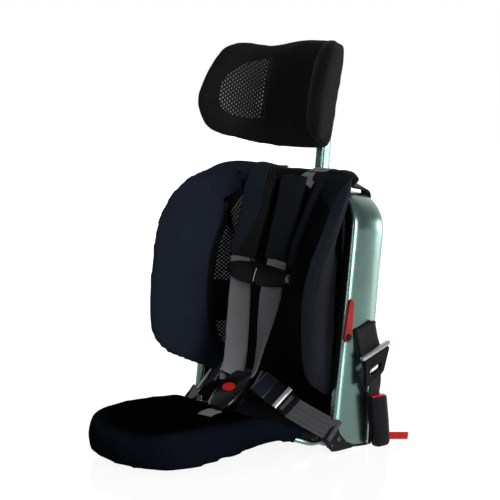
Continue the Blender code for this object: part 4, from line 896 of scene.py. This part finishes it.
for side, sign in sides:
    shift = Vector((upper_shifts[sign], 0, 0))
    path = [point + shift for point in sided(upper_points, sign, 5)]
    piece = drawn(f"upper_strap_{side}", path, (1, 0, 0), band_section(0.036, web_thickness), grey_web)
    placed(piece, "frame", "grey_webbing", f"shoulder_strap_{side}")

    def lower_across(share, sign=sign):
        turned = full_turn * table(turns[sign], share)
        return (math.cos(turned), -sign * math.sin(turned), 0)

    path = sided(lower_points, sign, 8)
    piece = drawn(f"front_strap_{side}", path, lower_across, web_section, grey_web)
    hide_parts(f"lower_strap_{side}")
    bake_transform(piece)


# Shoulder pads: soft sleeves over the straps. The left one has a navy face, narrowing downwards, and a black
# knit gusset towards the neck. The right one is the navy jersey darkened with painted shade, and lies folded
# in two layers.
left_points = (
    (-0.047, 0.026, 0.442), (-0.045, 0.012, 0.445), (-0.042, -0.003, 0.443), (-0.041, -0.022, 0.414),
    (-0.043, -0.033, 0.375), (-0.045, -0.0465, 0.334), (-0.046, -0.0575, 0.297),
)
face_points_right = (
    (0.041, -0.015, 0.437), (0.041, -0.0225, 0.412), (0.039, -0.0335, 0.374), (0.037, -0.047, 0.334),
    (0.038, -0.058, 0.298),
)
fold_points_right = (
    (0.104, -0.017, 0.43), (0.092, -0.022, 0.405), (0.083, -0.031, 0.372), (0.077, -0.044, 0.334),
    (0.074, -0.0565, 0.29),
)


def left_pad_border(place):
    """The curved seam between the navy face and the gusset of the left pad."""
    x, z = place.axis("X"), place.axis("Z")
    rise = (z - 0.296) / 0.15
    ahead = x - (rise * 0.125 - rise * rise * 0.098 - 0.0552)
    return ahead.smooth(-0.0005, 0.0005), abs(ahead).smooth(0.0016, 0.0)


pad_cloth = cloth(
    "pad_cloth", ((20, 25, 33), (29, 36, 46)), 0.0017, 0.0005, ((6, 6, 7), (34, 34, 36)), left_pad_border
)
path = [point + Vector((0.006, 0, 0)) for point in curve_through(left_points, 5)]
raw = drawn(
    "left_pad_form", path, (1, 0, 0), oval(0.074, 0.0165, 4.0, 32), pad_cloth,
    lambda share: (1.0 - 0.12 * share ** 3, 1.0),
)
pad = stuffed(
    "shoulder_sleeve_left", raw.data, pad_cloth,
    voxel=0.004, shrink=0.001, cap=0.0018, pressure=3.0, waves=0.0008,
)
for vertex in pad.data.vertices:
    vertex.co.z -= max(vertex.co.x + 0.062, 0.0) * 0.15 * held(vertex.co.z, 0.4, 0.045)
bpy.data.objects.remove(raw)
placed(pad, "frame", "navy_fabric", "shoulder_pad_left")

def face_size(share):
    return 1.0 - 0.26 * share ** 1.5, 1.0


def fold_size(share):
    return 0.9 + 0.1 * share, 1.0


for name, points, section, size in (
    ("shoulder_sleeve_right", face_points_right, oval(0.056, 0.0165, 3.5, 28), face_size),
    ("shoulder_fold_right", fold_points_right, oval(0.018, 0.013, 2.4, 20), fold_size),
):
    raw = drawn("right_pad_form", curve_through(points, 5), (1, 0.12, 0), section, shaded_navy_jersey, size)
    pad = stuffed(
        name, raw.data, shaded_navy_jersey, voxel=0.0036, shrink=0.0008, cap=0.0014, pressure=3.0, waves=0.0007
    )
    bpy.data.objects.remove(raw)
    if name == "shoulder_sleeve_right":
        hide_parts("shoulder_pad_right")
    placed(pad, "frame", "navy_fabric")


# Chest clip: two glossy black halves that make one long lens across both straps, with a bright split line
# where they meet and a rounded boss at the far right, whose grey is a painted highlight.
clip_centre = Vector((0.007, -0.0655, 0.2745))
clip_half_width, clip_half_height, clip_thickness, clip_gap = 0.0745, 0.0185, 0.0095, 0.0014
for side, sign in sides:
    bm = bmesh.new()
    bmesh.ops.create_circle(bm, cap_ends=True, segments=56, radius=1.0)
    for vertex in bm.verts:
        flat, tall = vertex.co.x, vertex.co.y
        vertex.co.x = math.copysign(abs(flat) ** (0.9 if flat > 0 else 0.82), flat) * clip_half_width
        vertex.co.y = math.copysign(abs(tall) ** 0.86, tall) * clip_half_height
    geometry = bm.verts[:] + bm.edges[:] + bm.faces[:]
    bmesh.ops.bisect_plane(
        bm, geom=geometry, plane_co=(clip_gap / 2 * sign, 0, 0), plane_no=(-sign, 0, 0), clear_outer=True
    )
    thickened(bm, (0, 0, clip_thickness))
    outwards(bm)
    rounded(bm, turning(bm, 0.8), 0.0026, 4, clamp=False)
    for vertex in bm.verts:
        flat, tall, deep = vertex.co
        bend = 0.02 * flat * flat / 0.0043
        vertex.co = clip_centre + Vector((flat, -deep + bend * 0.22, tall - 0.035 * flat))
    for item in bm.edges:
        item.smooth = item.calc_face_angle(0.0) < 0.7
    half = built(f"clip_half_{side}", bm, clip_black)
    placed(half, "frame", "black_plastic", f"chest_clip_{side}")
seam_line = curve_through([
    (0.0145, -0.0735, 0.2895), (0.0105, -0.0752, 0.28), (0.0065, -0.0752, 0.269), (0.003, -0.0738, 0.259)
], 5)
split = drawn("clip_split", seam_line, (1, 0, 0), oval(0.0016, 0.0012, 2.0, 12), bright)
placed(split, "frame", "black_plastic")
# painted highlight: the boss is grey instead of the clip's black
boss_highlight_grey = moulded("boss_highlight_grey", (40, 40, 42), (58, 58, 60), 0.22, 0.34, 900.0, Specular_IOR_Level=0.5)
boss_line = [Vector((0.0785, -0.0715 + 0.0022 * step, 0.2725)) for step in range(6)]
boss = drawn(
    "clip_boss", boss_line, (1, 0, 0), oval(0.01, 0.017, 2.2, 20), boss_highlight_grey,
    lambda share: (1 - 0.45 * (1 - share) ** 5,) * 2,
)
placed(boss, "frame", "black_plastic")


# Buckle: a moulded black housing on a short grey strap through the seat, with a red oval button. The
# tongues pushed into it are on the hip straps.
finished("buckle_body", "buckle_housing", "seat", "black_plastic", gloss_black, 0.0012)
finished("buckle_press", "buckle_button", "buckle_button", "red_plastic", red, 0.0)
strap_points = ((0.0, -0.186, 0.046), (0.0, -0.178, 0.0535), (0.0, -0.168, 0.0565), (0.0, -0.1538, 0.0578))
path = curve_through(strap_points, 6)
piece = drawn("buckle_strap", path, (1, 0, 0), band_section(0.0304, web_thickness), grey_web)
placed(piece, "seat", "dark_webbing", "crotch_strap")


# Hip straps: grey webbing from each tongue through its adjuster to the bracket at the foot of the leg. A
# navy sleeve covers the strap next to the tongue.
hip_points = (
    (0.0468, -0.10155, 0.1077), (0.06, -0.1, 0.101), (0.0722, -0.0983, 0.0941), (0.0811, -0.0947, 0.0878),
    (0.09, -0.091, 0.0815), (0.0989, -0.0873, 0.0752), (0.1078, -0.0837, 0.0689), (0.133, -0.0755, 0.0575),
    (0.155, -0.068, 0.0485), (0.175, -0.061, 0.0405),
)
hip_across = Vector((0, 0.72, 0.69))
stitch_rows = [(offset, 0.005) for offset in (-0.013, -0.0045, 0.0045, 0.013)]
hip_web = webbing("hip_webbing_weave", (58, 58, 61), (84, 84, 87), web_width, stitch_rows)
sleeve_cloth = cloth("sleeve_cloth", ((16, 20, 30), (26, 32, 44)), 0.0017, 0.0003)
for side, sign in sides:
    finished(f"tongue_{side}", f"hip_tongue_{side}", "seat", "bright_metal", dull, 0.0003)
    path = sided(hip_points, sign)
    piece = drawn(f"hip_webbing_{side}", path, hip_across, web_section, hip_web)
    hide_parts(f"hip_strap_{side}")
    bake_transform(piece)
    fold_middle = Vector((sign * 0.1765, -0.0605, 0.04))
    fold_line = [fold_middle + hip_across * (0.0195 * step / 3) for step in range(-3, 4)]
    fold = drawn(f"hip_fold_{side}", fold_line, (sign, 0.3, -0.3), oval(0.0075, 0.006, 2.4, 20), hip_web)
    placed(fold, "frame", "grey_webbing")
    piece = drawn(f"hip_sleeve_{side}", path[2:12], hip_across, oval(0.0415, 0.0052, 5.0, 28), sleeve_cloth)
    placed(piece, "seat", "navy_fabric")
    finished(f"hip_slider_{side}", f"hip_adjuster_{side}", "seat", "black_plastic", plastic, 0.0006)
    bar = f"hip_adjuster_bar_{side}"
    finished(f"hip_press_{side}", bar, bar, "bright_metal", bright, 0.0006, swell=0.0006)


# Rivets in the foot of each leg and in the hip bracket: turned steel heads with a rounded edge, set flat
# against the metal.
def rivet(name, centre, radius, look):
    bm = bmesh.new()
    bmesh.ops.create_circle(bm, cap_ends=True, segments=24, radius=radius)
    thickened(bm, (0, 0, radius * 0.5))
    rounded(bm, turning(bm, 0.8), radius * 0.3, 3, clamp=False)
    for vertex in bm.verts:
        flat, tall, deep = vertex.co
        vertex.co = Vector(centre) + Vector((math.copysign(deep, centre[0]), flat, tall))
    outwards(bm)
    return placed(built(name, bm, look), "frame", "black_steel")


for side, sign in sides:
    rivet(f"foot_rivet_upper_{side}", (sign * 0.1716, 0.0192, 0.0275), 0.0026, steel)
    rivet(f"foot_rivet_lower_{side}", (sign * 0.1716, 0.0171, 0.014), 0.0026, steel)
    rivet(f"bracket_bolt_{side}", (sign * 0.1752, -0.049, 0.025), 0.0042, dull)
    rivet(f"bracket_rivet_{side}", (sign * 0.1752, -0.064, 0.017), 0.0024, dull)


# Anchor belts on the outside of each leg: dark webbing folded over at the top, a black adjuster with a
# bright lifting bar, and a connector with a red release and a red pull tab.
loop_points = (
    (0.17325, 0.02, 0.15), (0.17325, 0.015, 0.172), (0.17325, 0.0105, 0.196), (0.1755, 0.01, 0.2),
    (0.17775, 0.0105, 0.196), (0.179, 0.015, 0.175), (0.1815, 0.0175, 0.162), (0.1816, 0.019, 0.15),
    (0.1816, 0.02, 0.138),
)
tail_points = (
    (0.1868, 0.0225, 0.122), (0.1868, 0.0235, 0.112), (0.184, 0.026, 0.099), (0.1785, 0.03, 0.086),
    (0.1785, 0.031, 0.079),
)
slider_outline = (
    (-0.0025, 0.147), (0.0515, 0.1648), (0.054, 0.1605), (0.0415, 0.1255), (0.037, 0.1215), (0.0015, 0.103),
    (-0.001, 0.1045),
)
slider_window = (
    (0.0085, 0.13), (0.033, 0.14), (0.035, 0.1372), (0.033, 0.1308), (0.03, 0.1292), (0.01, 0.1215),
    (0.0082, 0.123),
)
belt_across = (0, 0.964, 0.264)
for side, sign in sides:
    path = sided(loop_points, sign)
    piece = drawn(f"anchor_loop_{side}", path, belt_across, band_section(0.0456, web_thickness), dark_web)
    placed(piece, "frame", "dark_webbing", f"anchor_strap_{side}")
    path = sided(tail_points, sign)
    piece = drawn(f"anchor_tail_{side}", path, belt_across, band_section(0.029, web_thickness), dark_web)
    placed(piece, "frame", "dark_webbing", f"anchor_webbing_{side}")
    piece = plate(f"anchor_slider_{side}", slider_outline, slider_window, sign * 0.1828, 0.0078, plastic)
    placed(piece, "frame", "black_plastic", f"anchor_adjuster_{side}")
    bar, button = f"anchor_bar_{side}", f"connector_button_{side}"
    finished(f"anchor_press_{side}", bar, bar, "bright_metal", bright, 0.0008, swell=0.0011)
    finished(f"anchor_catch_{side}", f"connector_{side}", "frame", "black_plastic", plastic, 0.0006)
    finished(f"catch_press_{side}", button, button, "red_plastic", red, 0.0004)
    finished(f"catch_tab_{side}", f"pull_tab_{side}", "frame", "red_plastic", red, 0.0003)


# Seat: a thick stuffed cushion with a dark jersey rim and a black knit middle. Towards the front its sides
# stand a little higher than the middle, where the buckle strap comes through.
seat = stuffed(
    "seat_cushion", nodes["seat_pad"].data, seat_jersey, shrink=0.001, cap=0.0025, waves=0.0012
)
side_rise = 0.009
for vertex in seat.data.vertices:
    outward = soft(held(abs(vertex.co.x), 0.045, 0.06))
    ahead = held(-vertex.co.y, 0.1, 0.05)
    upper = held(vertex.co.z, 0.02, 0.03)
    vertex.co.z += side_rise * outward * ahead * upper
placed(seat, "seat", "navy_fabric", "seat_pad")


# Headrest: a C-shaped stuffed pad in coarse black knit over the plastic shell. The left wing has a D-shaped
# window of open net, through which the light shows; the right wing's window is left as dark knit, painted
# shade.
slope = math.radians(11.5)
wing_way = Vector((0.515, -0.857, 0))


def head_place(x, y, z):
    """The height on the headrest and the way out along its wing, of a point or of a shader's place."""
    ahead = (y - 0.044) * -math.cos(slope) + (z - 0.565) * math.sin(slope)
    height = (y - 0.044) * math.sin(slope) + (z - 0.565) * math.cos(slope)
    return height, (abs(x) - 0.0753) * wing_way.x + (ahead - 0.01455) * -wing_way.y


head, shader, place, strap = material(
    "head_knit", BLACK[0], 0.85, Sheen_Weight=0.06, Sheen_Roughness=0.45, Specular_IOR_Level=0.1
)
shader.inputs["Sheen Tint"].default_value = colour((30, 30, 32))
x, y, z = place.axes()
height, along = head_place(x, y, z)
window_width, window_half_height, window_power = 0.0835, 0.0515, 2.3
across = along / window_width
tall = (height - 0.009 + along * 0.27) / window_half_height
shape = abs(across).math("POWER", window_power) + abs(tall).math("POWER", window_power)
window = shape.smooth(1.03, 0.97) * along.smooth(-0.0004, 0.0004)
normal = place.facing()
front = (normal.axis("Y") * 0.6 + normal.axis("X") * x * 8.0).smooth(0.05, -0.05)
head_mesh = (0.0084, 0.0072)
holes = net_holes(along, height, *head_mesh)
# The net window and its see-through are drawn on the left wing only; on the right it stays dark knit, painted
# shade.
lit_left_window = x.smooth(0.01, -0.01)
loops = knit_loops(place, 0.003)
fibres = place.noise(700.0, 2.0)
patches = place.noise(22.0, 3.0)
tone = (loops * 0.4 + patches * 0.4 + fibres * 0.4).smooth(0.25, 0.95).between((8, 8, 9), (30, 30, 31))
# painted shade: the outer face of the right headrest wing is darkened towards black
near_outside_shade = (normal.axis("X") * x).smooth(0.01, 0.05) * x.smooth(0.0, 0.02)
tone = (near_outside_shade * 0.9).between(tone, (4, 4, 5))
feed(shader, "Base Color", (window * front * lit_left_window).between(tone, (34, 34, 35)))
feed(shader, "Roughness", fibres * 0.1 + 0.8)
open_back = net_holes(along, height, *head_mesh, -0.62, -0.3)
feed(shader, "Alpha", 1.0 - window * lit_left_window * (front * holes * 0.6 + (1.0 - front) * open_back * 0.6))
bump(shader, loops + fibres * 0.6, 0.0004, 0.7)
cushion = stuffed(
    "head_cushion", nodes["headrest_pad"].data, head, shrink=0.0012, pressure=3.0, waves=0.0008
)
for vertex in cushion.data.vertices:
    upward, out = head_place(*vertex.co)
    rise = 0.0105 - 0.015 * soft(held(out, -0.05, 0.09))
    high = held(upward, 0.0, 0.09) ** 2
    low = held(-upward, 0.0, 0.075) ** 2
    tip = held(out, 0.045, 0.045)
    vertex.co += Vector((0, math.sin(slope), math.cos(slope))) * (rise * high - 0.005 * low * tip)
    vertex.co += Vector((math.copysign(wing_way.x, vertex.co.x), wing_way.y, 0)) * 0.0035 * tip
placed(cushion, "headrest", "black_knit", "headrest_pad")
